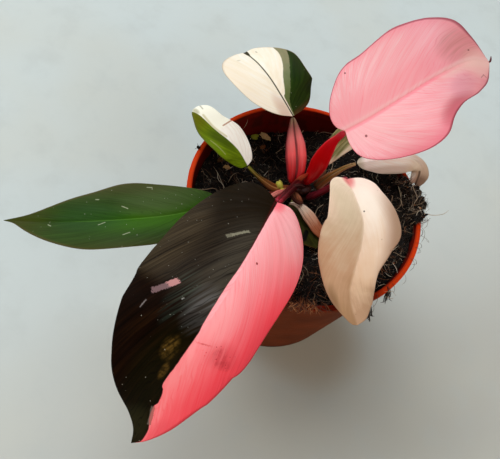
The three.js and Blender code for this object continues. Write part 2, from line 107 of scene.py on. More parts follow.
# %% A socket that can stand in a formula
class Wire:
    """One socket of a node tree. Arithmetic on it adds Math nodes."""

    def __init__(self, tree, socket=None):
        self.tree = tree
        self.socket = socket

    def node(self, kind, settings=None, inputs=None, output=None):
        """Adds a node: its settings first, then its inputs by name or number. Gives one output's wire."""
        made = self.tree.nodes.new(kind)
        for name, value in (settings or {}).items():
            if name == "stops":
                lay_stops(made, value)
            elif name == "curve":
                lay_curve(made, value)
            else:
                setattr(made, name, value)
        for name, value in (inputs or {}).items():
            if isinstance(name, int):
                socket = made.inputs[name]
            else:
                socket = next(s for s in made.inputs if s.enabled and name in (s.name, s.identifier))
            if isinstance(value, Wire):
                self.tree.links.new(value.socket, socket)
            else:
                socket.default_value = value
        given = next((s for s in made.outputs if s.enabled and output in (None, s.name)), None)
        return Wire(self.tree, given)

    def other(self, output):
        """Another output of the node that this wire comes from."""
        return Wire(self.tree, self.socket.node.outputs[output])

    def xyz(self):
        """The three numbers of this vector."""
        split = self.node("ShaderNodeSeparateXYZ", inputs={"Vector": self})
        return split, split.other("Y"), split.other("Z")

    def then(self, kind, inputs=None, settings=None, output=None):
        """A geometry node whose first input is this wire."""
        return self.node(f"GeometryNode{kind}", settings, {0: self, **(inputs or {})}, output)

    def maths(self, operation, *more):
        """A Math node of this wire and the values that its operation still needs."""
        return self.node("ShaderNodeMath", {"operation": operation}, dict(enumerate((self, *more))))

    def vectors(self, operation, *more):
        """A Vector Math node of this wire and more vectors."""
        return self.node("ShaderNodeVectorMath", {"operation": operation}, dict(enumerate((self, *more))))

    def scaled(self, amount):
        """This vector, made longer by an amount."""
        return self.node("ShaderNodeVectorMath", {"operation": "SCALE"}, {"Vector": self, "Scale": amount})

    def __neg__(self):
        return self * -1.0


def arithmetic(operation, swapped=False):
    """The method behind a sign, such as +. Swapped, it is the one for a number that comes first."""
    def method(self, *other):
        values = (*other, self) if swapped else (self, *other)
        return self.node("ShaderNodeMath", {"operation": operation}, dict(enumerate(values)))
    return method


for sign, operation in (("add", "ADD"), ("sub", "SUBTRACT"), ("mul", "MULTIPLY"), ("truediv", "DIVIDE"),
                        ("pow", "POWER"), ("gt", "GREATER_THAN"), ("lt", "LESS_THAN"), ("abs", "ABSOLUTE")):
    setattr(Wire, f"__{sign}__", arithmetic(operation))
    if sign in ("add", "sub", "mul", "truediv"):
        setattr(Wire, f"__r{sign}__", arithmetic(operation, swapped=True))


def lay_stops(ramp_node, stops):
    """Gives a ColorRamp node its stops: (place, colour)."""
    ramp = ramp_node.color_ramp
    while len(ramp.elements) < len(stops):
        ramp.elements.new(1.0)
    for element, (place, colour) in zip(ramp.elements, stops):
        element.position = place
        element.color = colour


def lay_curve(curve_node, points):
    """Gives a Float Curve node its points: (x, y), both from 0 to 1."""
    curve = curve_node.mapping.curves[0]
    while len(curve.points) < len(points):
        curve.points.new(0.5, 0.5)
    for point, (x, y) in zip(curve.points, points):
        point.location = (x, y)
    curve_node.mapping.update()


# %% [markdown]
# ## Paint helpers
#
# Patterns are built up as a painter does: a ground colour, and then one glaze after another, each through
# a mask that is worked out from the place on the piece. A mask is a wire between 0 and 1.

# %% Colours, glazes and masks
def colour(code):
    """A screen colour such as '#e0a0a0' as the linear colour that a shader takes."""
    parts = [int(code[i:i + 2], 16) / 255 for i in (1, 3, 5)]
    return tuple(c / 12.92 if c <= 0.04045 else ((c + 0.055) / 1.055) ** 2.4 for c in parts) + (1.0,)


def glaze(ground, *coats):
    """The ground under coats (mask, paint). A coat covers what is below it where its mask is 1."""
    for mask, paint in coats:
        below, above = [colour(p) if isinstance(p, str) else p for p in (ground, paint)]
        ground = mask.node("ShaderNodeMix", {"data_type": "RGBA"}, {"Factor": mask, "A": below, "B": above})
    return ground


def step(value, low, high):
    """0 below low, 1 above high, and smooth between them."""
    return value.node("ShaderNodeMapRange", {"interpolation_type": "SMOOTHSTEP"},
                      {"Value": value, "From Min": low, "From Max": high})


def ramp(value, *stops):
    """A colour that changes with a value between 0 and 1."""
    return value.node("ShaderNodeValToRGB", {"stops": [(place, colour(code)) for place, code in stops]},
                      {"Fac": value}, "Color")


def drawn(value, points):
    """A curve through points (x, y), in their own units."""
    (x0, x1), (y0, y1) = [(min(p[i] for p in points), max(p[i] for p in points)) for i in (0, 1)]
    rise = max(y1 - y0, 1e-6)
    spots = [((x - x0) / (x1 - x0), (y - y0) / rise) for x, y in points]
    share = (value - x0) / (x1 - x0)
    return share.node("ShaderNodeFloatCurve", {"curve": spots}, {"Value": share}) * rise + y0


def vector(x, y, z=0.0):
    wire = next(w for w in (x, y, z) if isinstance(w, Wire))
    return wire.node("ShaderNodeCombineXYZ", inputs={"X": x, "Y": y, "Z": z})


def clouds(place, scale, detail=2.0, roughness=0.5):
    """Noise around 0.5 at a place, with cells of about 1/scale."""
    return place.node("ShaderNodeTexNoise", inputs={
        "Vector": place, "Scale": scale, "Detail": detail, "Roughness": roughness}, output="Fac")


def blot(x, y, centre, reach):
    """A soft oval patch."""
    away = ((x - centre[0]) / reach[0]) ** 2.0 + ((y - centre[1]) / reach[1]) ** 2.0
    return 1.0 - step(away, 0.0, 1.0)


def stroke(x, y, start, end, width, blur=0.35):
    """A brush stroke from start to end."""
    dx, dy = end[0] - start[0], end[1] - start[1]
    share = ((x - start[0]) * dx + (y - start[1]) * dy) / (dx * dx + dy * dy)
    share = share.maths("MAXIMUM", 0.0).maths("MINIMUM", 1.0)
    away = ((x - start[0] - share * dx) ** 2.0 + (y - start[1] - share * dy) ** 2.0) ** 0.5
    return 1.0 - step(away, width / 2 - blur, width / 2 + blur)


def specks(x, y, cell, share, size, seed=0.0):
    """Small dots: one at most in each cell, in a share of the cells."""
    cells = x.node("ShaderNodeTexVoronoi", {"voronoi_dimensions": "3D"},
                   {"Vector": vector(x / cell, y / cell, seed), "Scale": 1.0}, "Distance")
    return (1.0 - step(cells, size / cell * 0.6, size / cell)) * (cells.other("Color").xyz()[0] < share)


def new_paint(name):
    """A new material, with a wire to start formulas from."""
    material = bpy.data.materials.new(name)
    material.use_nodes = True
    return material, Wire(material.node_tree)


def attribute(start, name):
    """The three numbers of a piece's own attribute."""
    return start.node("ShaderNodeAttribute", {"attribute_name": name}, output="Vector").xyz()


def object_place(start):
    """The place on the piece, in metres."""
    return start.node("ShaderNodeTexCoord", output="Object")


def finish_paint(material, base, roughness, height=None, depth=0.1 * MM, glow=None, **constants):
    """Feeds the material's shader. `height` goes from 0 to 1 and stands `depth` high at most."""
    tree = material.node_tree
    shader = tree.nodes["Principled BSDF"]
    for name, value in constants.items():
        shader.inputs[name.replace("_", " ").title().replace("Ior", "IOR")].default_value = value
    for name, value in (("Base Color", base), ("Roughness", roughness)):
        if isinstance(value, Wire):
            tree.links.new(value.socket, shader.inputs[name])
        else:
            shader.inputs[name].default_value = value
    if height is not None:
        bump = height.node("ShaderNodeBump", inputs={"Height": height, "Distance": depth, "Strength": 1.0})
        tree.links.new(bump.socket, shader.inputs["Normal"])
    if glow is not None:
        tree.links.new(glow.socket, shader.inputs["Emission Color"])
        shader.inputs["Emission Strength"].default_value = 1.0
        material.cycles.emission_sampling = "NONE"
    return material


# %% [markdown]
# ## Floor and light
#
# The plant stands on a pale, faintly mottled table beside a broad window. The window lies behind the plant
# and to the left, so shadows fall to the lower right with wide soft edges. The room and a wall in front send
# warm light back, which fills the shadows and reaches the leaf halves that face away from the window. A
# small sun would draw hard edges that a cloudy day does not have.

# %% Floor and lights
LAMP_DISTANCE = 3.0    # metres


def lamp(name, azimuth, elevation, size, power, tint):
    """A soft round lamp that looks at the plant. Azimuth 0 is along +X, and 90 is behind the plant."""
    light = bpy.data.lights.new(name, "AREA")
    light.shape = "DISK"
    light.size = size
    light.energy = power
    light.color = tint
    turn, rise = math.radians(azimuth), math.radians(elevation)
    place = Vector((math.cos(turn) * math.cos(rise), math.sin(turn) * math.cos(rise), math.sin(rise)))
    holder = bpy.data.objects.new(name, light)
    facing = (-place).to_track_quat("-Z", "Y").to_matrix().to_4x4()
    holder.matrix_world = Matrix.Translation(place * LAMP_DISTANCE) @ facing
    show(holder)


def paint_table():
    material, start = new_paint("table")
    place = object_place(start)
    x, y, _ = place.xyz()
    ground = glaze(
        "#ccd6d7",
        # Painted shade: the table is painted greyer towards the lower right, where the plant's soft shadow
        # and the fall-off of the window light lie.
        (step(x - y, -0.14, 0.2), "#b9b9b3"),
        (step(clouds(place, 6, 3), 0.42, 0.7) * 0.5, "#cbccc2"),
        (step(clouds(place, 40, 5, 0.6), 0.45, 0.75) * 0.3, "#b9c0bf"),
        # Painted shadow: a warm brown patch in front of the pot, to its right, stands for the pot's shadow
        # and the light that the terracotta sends back.
        (blot(x, y, (0.035, -0.03), (0.045, 0.036)) * 0.5, "#a08a68"))
    return finish_paint(material, ground, 0.6, clouds(place, 60, 4), 0.1 * MM, specular_ior_level=0.2)


def make_table():
    side, sunk = 3.0, 0.2 * MM
    mesh = bpy.data.meshes.new("table")
    corners = [(x * side, y * side, -sunk) for x, y in ((-1, -1), (1, -1), (1, 1), (-1, 1))]
    mesh.from_pydata(corners, [], [(0, 1, 2, 3)])
    mesh.materials.append(paint_table())
    show(bpy.data.objects.new("table", mesh))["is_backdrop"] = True


make_table()
lamp("window", 128, 60, 2.6, 50.0, (0.97, 1.0, 1.0))
lamp("window_low", 150, 35, 2.6, 47.0, (0.97, 1.0, 1.0))
lamp("room", 320, 40, 2.6, 36.0, (1.0, 0.96, 0.9))
lamp("front_wall", 265, 15, 2.6, 26.0, (1.0, 0.84, 0.62))
sky = bpy.data.worlds.new("sky")
sky.use_nodes = True
sky.node_tree.nodes["Background"].inputs["Color"].default_value = (1.0, 0.98, 0.94, 1.0)
sky.node_tree.nodes["Background"].inputs["Strength"].default_value = 0.05
scene.world = sky

# %% [markdown]
# ## Curves
#
# Midribs, leaf margins and stalks are smooth lines through a few points. The centripetal Catmull-Rom rule
# goes through every point without loops. Here it is sampled finely once, and read by its share of length.

# %% A smooth line through points
class Curve:
    """A centripetal Catmull-Rom line. A share of 0 is its start and 1 its end."""

    def __init__(self, points, samples=40):
        given = np.array([(list(point) + [0.0])[:3] for point in points], float)
        given = np.vstack([2 * given[0] - given[1], given, 2 * given[-1] - given[-2]])
        share = (np.arange(samples) / samples)[:, None]
        spans = []
        for p0, p1, p2, p3 in zip(given, given[1:], given[2:], given[3:]):
            d0, d1, d2 = [max(np.linalg.norm(gap) ** 0.5, 1e-6) for gap in (p1 - p0, p2 - p1, p3 - p2)]
            leave = ((p1 - p0) / d0 - (p2 - p0) / (d0 + d1) + (p2 - p1) / d1) * d1
            reach = ((p2 - p1) / d1 - (p3 - p1) / (d1 + d2) + (p3 - p2) / d2) * d1
            s2, s3 = share ** 2, share ** 3
            spans.append((2 * s3 - 3 * s2 + 1) * p1 + (s3 - 2 * s2 + share) * leave
                         + (3 * s2 - 2 * s3) * p2 + (s3 - s2) * reach)
        self.points = np.vstack(spans + [given[-2]])
        steps = np.linalg.norm(np.diff(self.points, axis=0), axis=1)
        self.lengths = np.concatenate([[0.0], np.cumsum(steps)])
        self.length = self.lengths[-1]

    def at(self, share):
        way = np.clip(share, 0, 1) * self.length
        return np.stack([np.interp(way, self.lengths, self.points[:, axis]) for axis in range(3)], -1)

    def ahead(self, share):
        """The direction of the line, as unit vectors."""
        near = 0.004
        along_it = self.at(np.clip(share + near, 0, 1)) - self.at(np.clip(share - near, 0, 1))
        return along_it / np.linalg.norm(along_it, axis=-1, keepdims=True)


def evenly(stops, share):
    """A value with even stops from 0 to 1."""
    return np.interp(np.clip(share, 0, 1), np.linspace(0, 1, len(stops)), stops)


# %% [markdown]
# ## Leaf blades: the shape
#
# A philodendron leaf grows flat in the bud and bends as it opens. The blade is drawn the same way: two
# margins and a straight midrib in the flat, in millimetres, and then a bent midrib in space. Each half
# leaves the midrib at a fold angle and curls on its way out. The frame's solids follow the same rule with
# fewer points. Sculpting nine leaves by hand would lose the flat plan, and the variegation needs it: a
# sector of colour on such a leaf is a shape on the flat blade.

# %% The nine blades
CURL_SPAN = 30.0       # the width in which a half turns by its curl
VEIN_SWEEP = 5.5       # how near the stalk the side veins leave the midrib
VEIN_SPREAD = 0.12     # the share of the midrib that they leave evenly
VEIN_BEND = 0.45       # how much of their lean comes late, near the margin
TIP_CROWDING = 1.6     # how much closer together the columns are near the tip
BLADE_THICKNESS = 0.5

BLADES = {
    "half_moon": dict(
        midrib=[(-14.3, -24.4, 120), (-16.3, -48, 130), (-19.4, -73, 136), (-23, -91.5, 135),
                (-28, -106, 128), (-31.4, -117.4, 115), (-33, -126.3, 103), (-35.4, -134, 92)],
        right=[(-8, 7.5), (-11.5, 17), (-2, 28), (15, 36), (33, 39), (54, 38.6), (83, 36.2), (100, 27.8),
               (114, 15.2), (127, 2.6)],
        left=[(-5.5, -9), (0, -20), (10, -27.5), (25, -30.5), (42, -29), (60, -26.5), (80, -25),
              (96, -22), (110, -17.4), (123, -8.6), (130.5, -3.4)],
        fold=([-22, -24, -24, -10], [-4, -2, 2, 6]), curl=([-34, -36, -34, -20], [-30, -30, -28, -20]),
        wave=(0.4, 52, 0.1)),
    "pink": dict(
        midrib=[(5, 24, 126), (12, 30, 131), (24, 43, 139), (39, 63, 144), (53, 81, 144), (65, 91, 140)],
        right=[(-1, 7), (0.5, 13.5), (8, 20), (20, 25.5), (33, 28), (44, 26.5), (52.5, 21.5), (62, 18),
               (77, 16.5), (88, 12)],
        left=[(-3, -3.5), (-3.5, -9), (0.5, -17), (8, -24.3), (16, -27.4), (24, -27.8), (33, -29.4),
              (41, -30.3),
              (50, -29.5), (66, -27), (77, -22), (83, -13)],
        fold=([8, 8, 8, 4], [8, 8, 6, 4]), curl=([-8, -8, -12, -15], [-15, -15, -20, -20]),
        roll=[-25, -25, -25, -20], wave=(1.6, 46, 0.35)),
    "cream_front": dict(
        midrib=[(13.2, 2.4, 119), (18.6, -8.8, 123), (25, -19.6, 122), (27.5, -28.8, 118),
                (28.5, -38, 113), (30, -46, 107), (34, -51.8, 102), (39, -56, 97)],
        right=[(0.5, 6), (5, 10.5), (12, 13.5), (21, 18), (34, 20.5), (46, 18.5), (56, 13), (66.5, 6.2),
               (71.5, 3)],
        left=[(1.5, -6.5), (6, -10.5), (14, -12.5), (24, -15.5), (30, -16.5), (37, -13), (46, -10),
              (60, -10.5), (68, -8.8), (72.5, -5.2)],
        fold=([20, 20, 15], [20, 20, 15]), curl=([-30, -30, -30], [-30, -30, -30])),
    "cream_green": dict(
        midrib=[(-20.8, 34.4, 112), (-29.4, 38.2, 118), (-38.4, 44.6, 121), (-47, 51.3, 121),
                (-56, 58.8, 118)],
        right=[(-0.5, 7), (1.5, 15), (9, 21.5), (20, 21.5), (32, 21.5), (41, 15), (46, 6)],
        left=[(4, -5.5), (8.5, -11), (15, -17), (25, -20), (35, -20), (42, -15.5), (45.5, -7)],
        fold=([8, 8], [8, 8]), curl=([-15, -15], [-15, -15])),
    "green": dict(
        midrib=[(-40, -28.4, 106), (-57, -41.6, 106), (-72.7, -49.5, 104), (-89, -55.4, 100),
                (-111.7, -60.2, 91), (-131.3, -60.7, 80)],
        right=[(-1, 5), (4, 9), (13, 13), (24, 16.5), (35, 18), (49, 17), (64, 13.5), (79, 8), (93, 3)],
        left=[(0, -5), (6, -9.5), (16, -12.5), (28, -14), (46, -15), (58, -14.5), (73, -11),
              (87, -5.5), (97, -1.5)],
        fold=([10, 10], [10, 10]), curl=([-20, -20], [-20, -20]), wave=(2, 34, 0)),
    "lime": dict(
        midrib=[(-33.7, 6.2, 97), (-40.2, 9.9, 101), (-47, 11.6, 104), (-56.5, 13.3, 106),
                (-64.5, 17, 108), (-69, 19, 108)],
        right=[(1.5, 3.5), (7.5, 6.7), (16, 10), (27, 9.2), (36, 7), (39.5, 3)],
        left=[(1, -5), (7, -10), (14.5, -12.5), (24, -10.5), (33, -6.5), (38, -3)],
        fold=([15, 15], [15, 15]), curl=([-15, -15], [-15, -15])),
    "drooping": dict(
        midrib=[(18.5, 27, 104), (26.5, 30.2, 107), (38.9, 37.7, 107), (46.5, 42, 105.5),
                (51.5, 42.6, 102), (53.4, 41, 99), (53.4, 38.8, 97), (52.8, 36.2, 95.3)],
        right=[(2, 3), (7, 5.6), (14, 7.8), (23, 8.5), (31, 7.8), (38, 6), (44, 4.5), (49, 3), (52, 1.5)],
        left=[(2, -5), (8, -9), (16, -11), (26, -10.5), (35, -8), (42, -6), (48, -4), (52, -2)],
        fold=([-25, -30, -25, 0], [-40, -50, -45, -10]), curl=([-40, -40, -30, 0], [-40, -40, -30, 0])),
    "striped": dict(
        midrib=[(3.4, 24.6, 98), (7, 32, 103), (12, 41, 107), (19, 52, 109), (26, 63, 108)],
        right=[(0.5, 2), (4, 3.2), (9, 4.3), (14, 5.4), (23, 6.5), (33, 5.5), (42, 2)],
        left=[(0.5, -2.5), (4, -4.5), (9, -6.5), (16, -8), (25, -8), (34, -6), (42, -2)],
        fold=([6, 6], [10, 10]), curl=([-20, -20], [-20, -20])),
    "low": dict(
        midrib=[(-6, -1.5, 90.5), (0, -8, 91), (6, -14, 90.8), (13, -21, 89.6)],
        right=[(1, 4), (6, 8.5), (13, 10.5), (20, 8.5), (25, 3.5)],
        left=[(1, -3.5), (6, -6.5), (13, -7.5), (20, -6), (25, -2.5)],
        fold=([6, 6], [6, 6]), curl=([-25, -25], [-25, -25])),
}


# %% Bend the flat blade
def blade_point(blade, midrib, a, b):
    """Where points of the flat blade, `a` along and `b` across in millimetres, lie in space."""
    share = np.clip(a / midrib.length, 0, 1)
    ahead = midrib.ahead(share)
    level = np.cross(ahead, (0.0, 0.0, 1.0))
    level /= np.linalg.norm(level, axis=-1, keepdims=True)
    above = np.cross(level, ahead)
    roll = np.radians(evenly(blade.get("roll", [0, 0]), share))
    fold, turn = [np.radians(np.where(b < 0, evenly(blade[key][0], share), evenly(blade[key][1], share)))
                  for key in ("fold", "curl")]
    turn = np.where(turn == 0, 1e-9, turn) / CURL_SPAN
    width = np.abs(b)
    height, ripple, start = blade.get("wave", (0, 1, 0))
    outwards = (np.sin(fold + turn * width) - np.sin(fold)) / turn * np.where(b < 0, -1, 1)
    upwards = ((np.cos(fold) - np.cos(fold + turn * width)) / turn
               + height * np.sin(2 * np.pi * (a / ripple + start)) * (width / CURL_SPAN) ** 2)
    return (midrib.at(share) + ahead * (a - share * midrib.length)[:, None]
            + level * (outwards * np.cos(roll) - upwards * np.sin(roll))[:, None]
            + above * (outwards * np.sin(roll) + upwards * np.cos(roll))[:, None])


def grid_faces(columns, rows):
    """Quads between the points of a grid that is stored column by column."""
    corner = np.arange((columns - 1) * rows).reshape(columns - 1, rows)[:, :-1].ravel()
    return np.stack([corner, corner + 1, corner + rows + 1, corner + rows], -1)


def store(mesh, name, values):
    layer = mesh.attributes.new(name, "FLOAT_VECTOR", "POINT")
    layer.data.foreach_set("vector", np.ascontiguousarray(values, np.float32).ravel())


def new_piece(name, points, faces=(), layers=None, smooth=True, edges=()):
    """A mesh object from points in millimetres, with its own attributes."""
    mesh = bpy.data.meshes.new(name)
    mesh.from_pydata((np.asarray(points) * MM).tolist(), edges, [list(map(int, face)) for face in faces])
    for layer, values in (layers or {}).items():
        store(mesh, layer, values)
    if smooth:
        mesh.shade_smooth()
    else:
        mesh.shade_flat()
    return show(bpy.data.objects.new(name, mesh))


# %% [markdown]
# ## Leaf blades: the mesh
#
# A blade is a sheet of columns that run along its side veins, from the midrib to the margin. Its upper and
# lower faces share their points at the margin, which closes the blade and gives it a fine round edge. The
# underside carries the keel of the midrib, and the upper side its groove. Solidify could give a sheet a
# thickness, but not a keel. Each point keeps its place in the flat and on its vein for the paint.

# %% Make a blade
KEEL_DEPTH = 0.9       # of the midrib under a large blade, at the stalk
KEEL_WIDTH = 1.3
GROOVE_DEPTH = 0.3
EDGE_POWER = 14        # how late the blade thins out towards its margin
LARGE_BLADE = 130.0    # the length that these are for


def blade_grid(blade, columns, rows):
    """The flat blade's columns, without its two ends: along, across, and the place on the vein."""
    midrib = Curve(blade["midrib"])
    column, row = np.meshgrid(np.arange(1, columns) / columns, np.arange(-rows, rows + 1) / rows,
                              indexing="ij")
    way = np.abs(row)
    way = way - 0.85 * np.sin(2 * np.pi * way) / (2 * np.pi)
    column = 1 - (1 - column) ** TIP_CROWDING
    foot = midrib.length * (VEIN_SPREAD * column + (1 - VEIN_SPREAD) * column ** VEIN_SWEEP)
    margins = [Curve([(0, 0), *blade[side], (midrib.length, 0)]).at(column) for side in ("left", "right")]
    margin = np.where((row < 0)[..., None], *margins)
    lean = way * (1 - VEIN_BEND) + VEIN_BEND * way ** 2.5
    return midrib, foot + (margin[..., 0] - foot) * lean, margin[..., 1] * way, column, way


def sheet_normals(points, faces):
    normals = np.zeros_like(points)
    a, b, c = [points[faces[:, k]] for k in (0, 1, -1)]
    face = np.cross(b - a, c - a)
    for k in range(faces.shape[1]):
        np.add.at(normals, faces[:, k], face)
    return normals / np.linalg.norm(normals, axis=1, keepdims=True)


def make_blade(name, paint, columns, rows, swells=8):
    blade = BLADES[name]
    midrib, a, b, column, way = blade_grid(blade, columns, rows)
    across = 2 * rows + 1
    size = midrib.length / LARGE_BLADE
    a, b, column, way = [np.concatenate([[start], grid.ravel(), [end]]) for grid, start, end in
                         ((a, 0, midrib.length), (b, 0, 0), (column, 0, 1), (way, 0, 0))]
    sheet = blade_point(blade, midrib, a, b)
    base, tip = 0, len(sheet) - 1
    quads = grid_faces(columns - 1, across) + 1
    first = np.arange(1, across)
    last = first + (columns - 2) * across
    fans = np.vstack([np.stack([np.full(across - 1, base), first + 1, first], -1),
                      np.stack([np.full(across - 1, tip), last, last + 1], -1)])
    triangles = np.vstack([quads[:, [0, 1, 2]], quads[:, [0, 2, 3]], fans])
    normals = sheet_normals(sheet, triangles)

    swelling = 0.06 * size * np.sin(2 * np.pi * swells * column + b * 0.02) * 4 * way * (1 - way)
    thin = np.sqrt(1 - np.minimum(way, 1) ** EDGE_POWER)
    half = BLADE_THICKNESS / 2 * thin
    rib = np.exp(-(b / (KEEL_WIDTH * max(size, 0.35))) ** 2) * (1 - 0.8 * a.clip(0) / midrib.length) * size
    upper = sheet + normals * (swelling + half - GROOVE_DEPTH * rib)[:, None]
    lower = sheet + normals * (swelling - half - KEEL_DEPTH * rib)[:, None]

    edge = way >= 1 - 1e-9
    edge[[base, tip]] = True
    under = np.where(edge, np.arange(len(sheet)), len(sheet) + np.cumsum(~edge) - 1)
    upper[edge] = sheet[edge]
    points = np.vstack([upper, lower[~edge]])
    below = [under[quads[:, ::-1]], under[fans[:, ::-1]]]
    faces = [*quads.tolist(), *fans.tolist(), *below[0].tolist(), *below[1].tolist()]
    side = np.concatenate([np.where(edge, 0, 1), -np.ones((~edge).sum())])
    both = np.concatenate([np.arange(len(sheet)), np.flatnonzero(~edge)])
    piece = new_piece(f"leaf_{name}", points, faces, {
        "flat": np.stack([a[both], b[both], side], -1),
        "vein": np.stack([column[both], way[both], side], -1)})
    piece.data.materials.append(paint)
    return piece


# %% [markdown]
# ## Leaf paint: what all nine leaves share
#
# A leaf's colour follows its veins, so the paint reads the two attributes of the blade. `flat` says where a
# point lies on the flat leaf, in millimetres, and `vein` says which side vein it is on and how far out.
# Noise that is stretched along the veins makes streaks that bend as the veins do, which no pattern on plain
# object coordinates could. Each leaf below starts from these and adds its own sectors of colour.
# Tissue without chlorophyll lets red light through, so the pink paints add a weak red glow. It is painted
# light: an emission that stands for the light in the leaf and costs no render time.

# %% Leaf paint helpers
class Leaf:
    """A leaf's paint, with where it is on the flat leaf: `a` along, `b` across, and `way` out on a vein."""

    def __init__(self, name):
        self.material, start = new_paint(f"leaf_{name}")
        self.a, self.b, self.side = attribute(start, "flat")
        self.column, self.way, _ = attribute(start, "vein")

    def streaks(self, count, detail=3.0):
        """Noise in `count` streaks along the side veins of each half."""
        place = vector(self.column * count, self.way * 2.0, (self.b > 0.0) * 9.0)
        return clouds(place, 1.0, detail, 0.6)

    def lines(self, count):
        """Thin lines along the side veins, which sway and fade in and out."""
        sway = self.streaks(count * 0.15, 2.0)
        wave = (self.column * count + sway * 5.0) * (2 * math.pi)
        fade = step(self.streaks(count * 0.5, 1.0), 0.4, 0.6)
        return step(wave.maths("COSINE"), 0.45, 1.0) * fade

    def blot(self, *how):
        return blot(self.a, self.b, *how)

    def stroke(self, *how):
        return stroke(self.a, self.b, *how)

    def specks(self, *how):
        return specks(self.a, self.b, *how)

    def ragged(self, start, end, width, tear=1.0):
        """A torn scrap of colour from start to end."""
        dx, dy = end[0] - start[0], end[1] - start[1]
        length = math.hypot(dx, dy)
        forth = ((self.a - start[0]) * dx + (self.b - start[1]) * dy) / length
        aside = ((self.b - start[1]) * dx - (self.a - start[0]) * dy) / length
        torn = (clouds(vector(self.a, self.b), 1.4, 3.0) - 0.5) * tear
        ends = forth.maths("MINIMUM", length - forth) + torn * 2.0
        inside = ends.maths("MINIMUM", width / 2 - abs(aside + torn))
        return step(inside, -0.15, 0.2)

    def dust(self, share=0.5, seed=0.0):
        """A coat of dried compost crumbs and hard water marks."""
        fine = self.specks(1.5, 0.09 * share, 0.22, seed)
        larger = self.specks(7.0, 0.1 * share, 0.32, seed + 3.0)
        return fine.maths("MAXIMUM", larger) * 0.5, "#d8d4c4"

    def finish(self, paint, veins, under, roughness, gloss, glow=None):
        """The paler underside, the vein relief, the shine, and a painted glow for the light that comes
        through.
        """
        paint = glaze(paint, (step(-self.side, 0.0, 0.4) * 0.45, under))
        fine = self.streaks(veins * 3.2, 2.0)
        relief = self.streaks(veins, 2.0) * 0.6 + fine * 0.4
        shine = roughness + (fine - 0.5) * 0.1
        return finish_paint(self.material, paint, shine, relief, 0.09 * MM, glow, specular_ior_level=gloss)


# %% [markdown]
# ## The half moon leaf
#
# This is the plant's show leaf: one half is nearly black with chlorophyll and red pigment together, and the
# other has no chlorophyll, so its red pigment shows as coral pink. The border is the midrib, up to a few
# millimetres from the tip. Grey and pink flecks lie where a few cells changed sides.

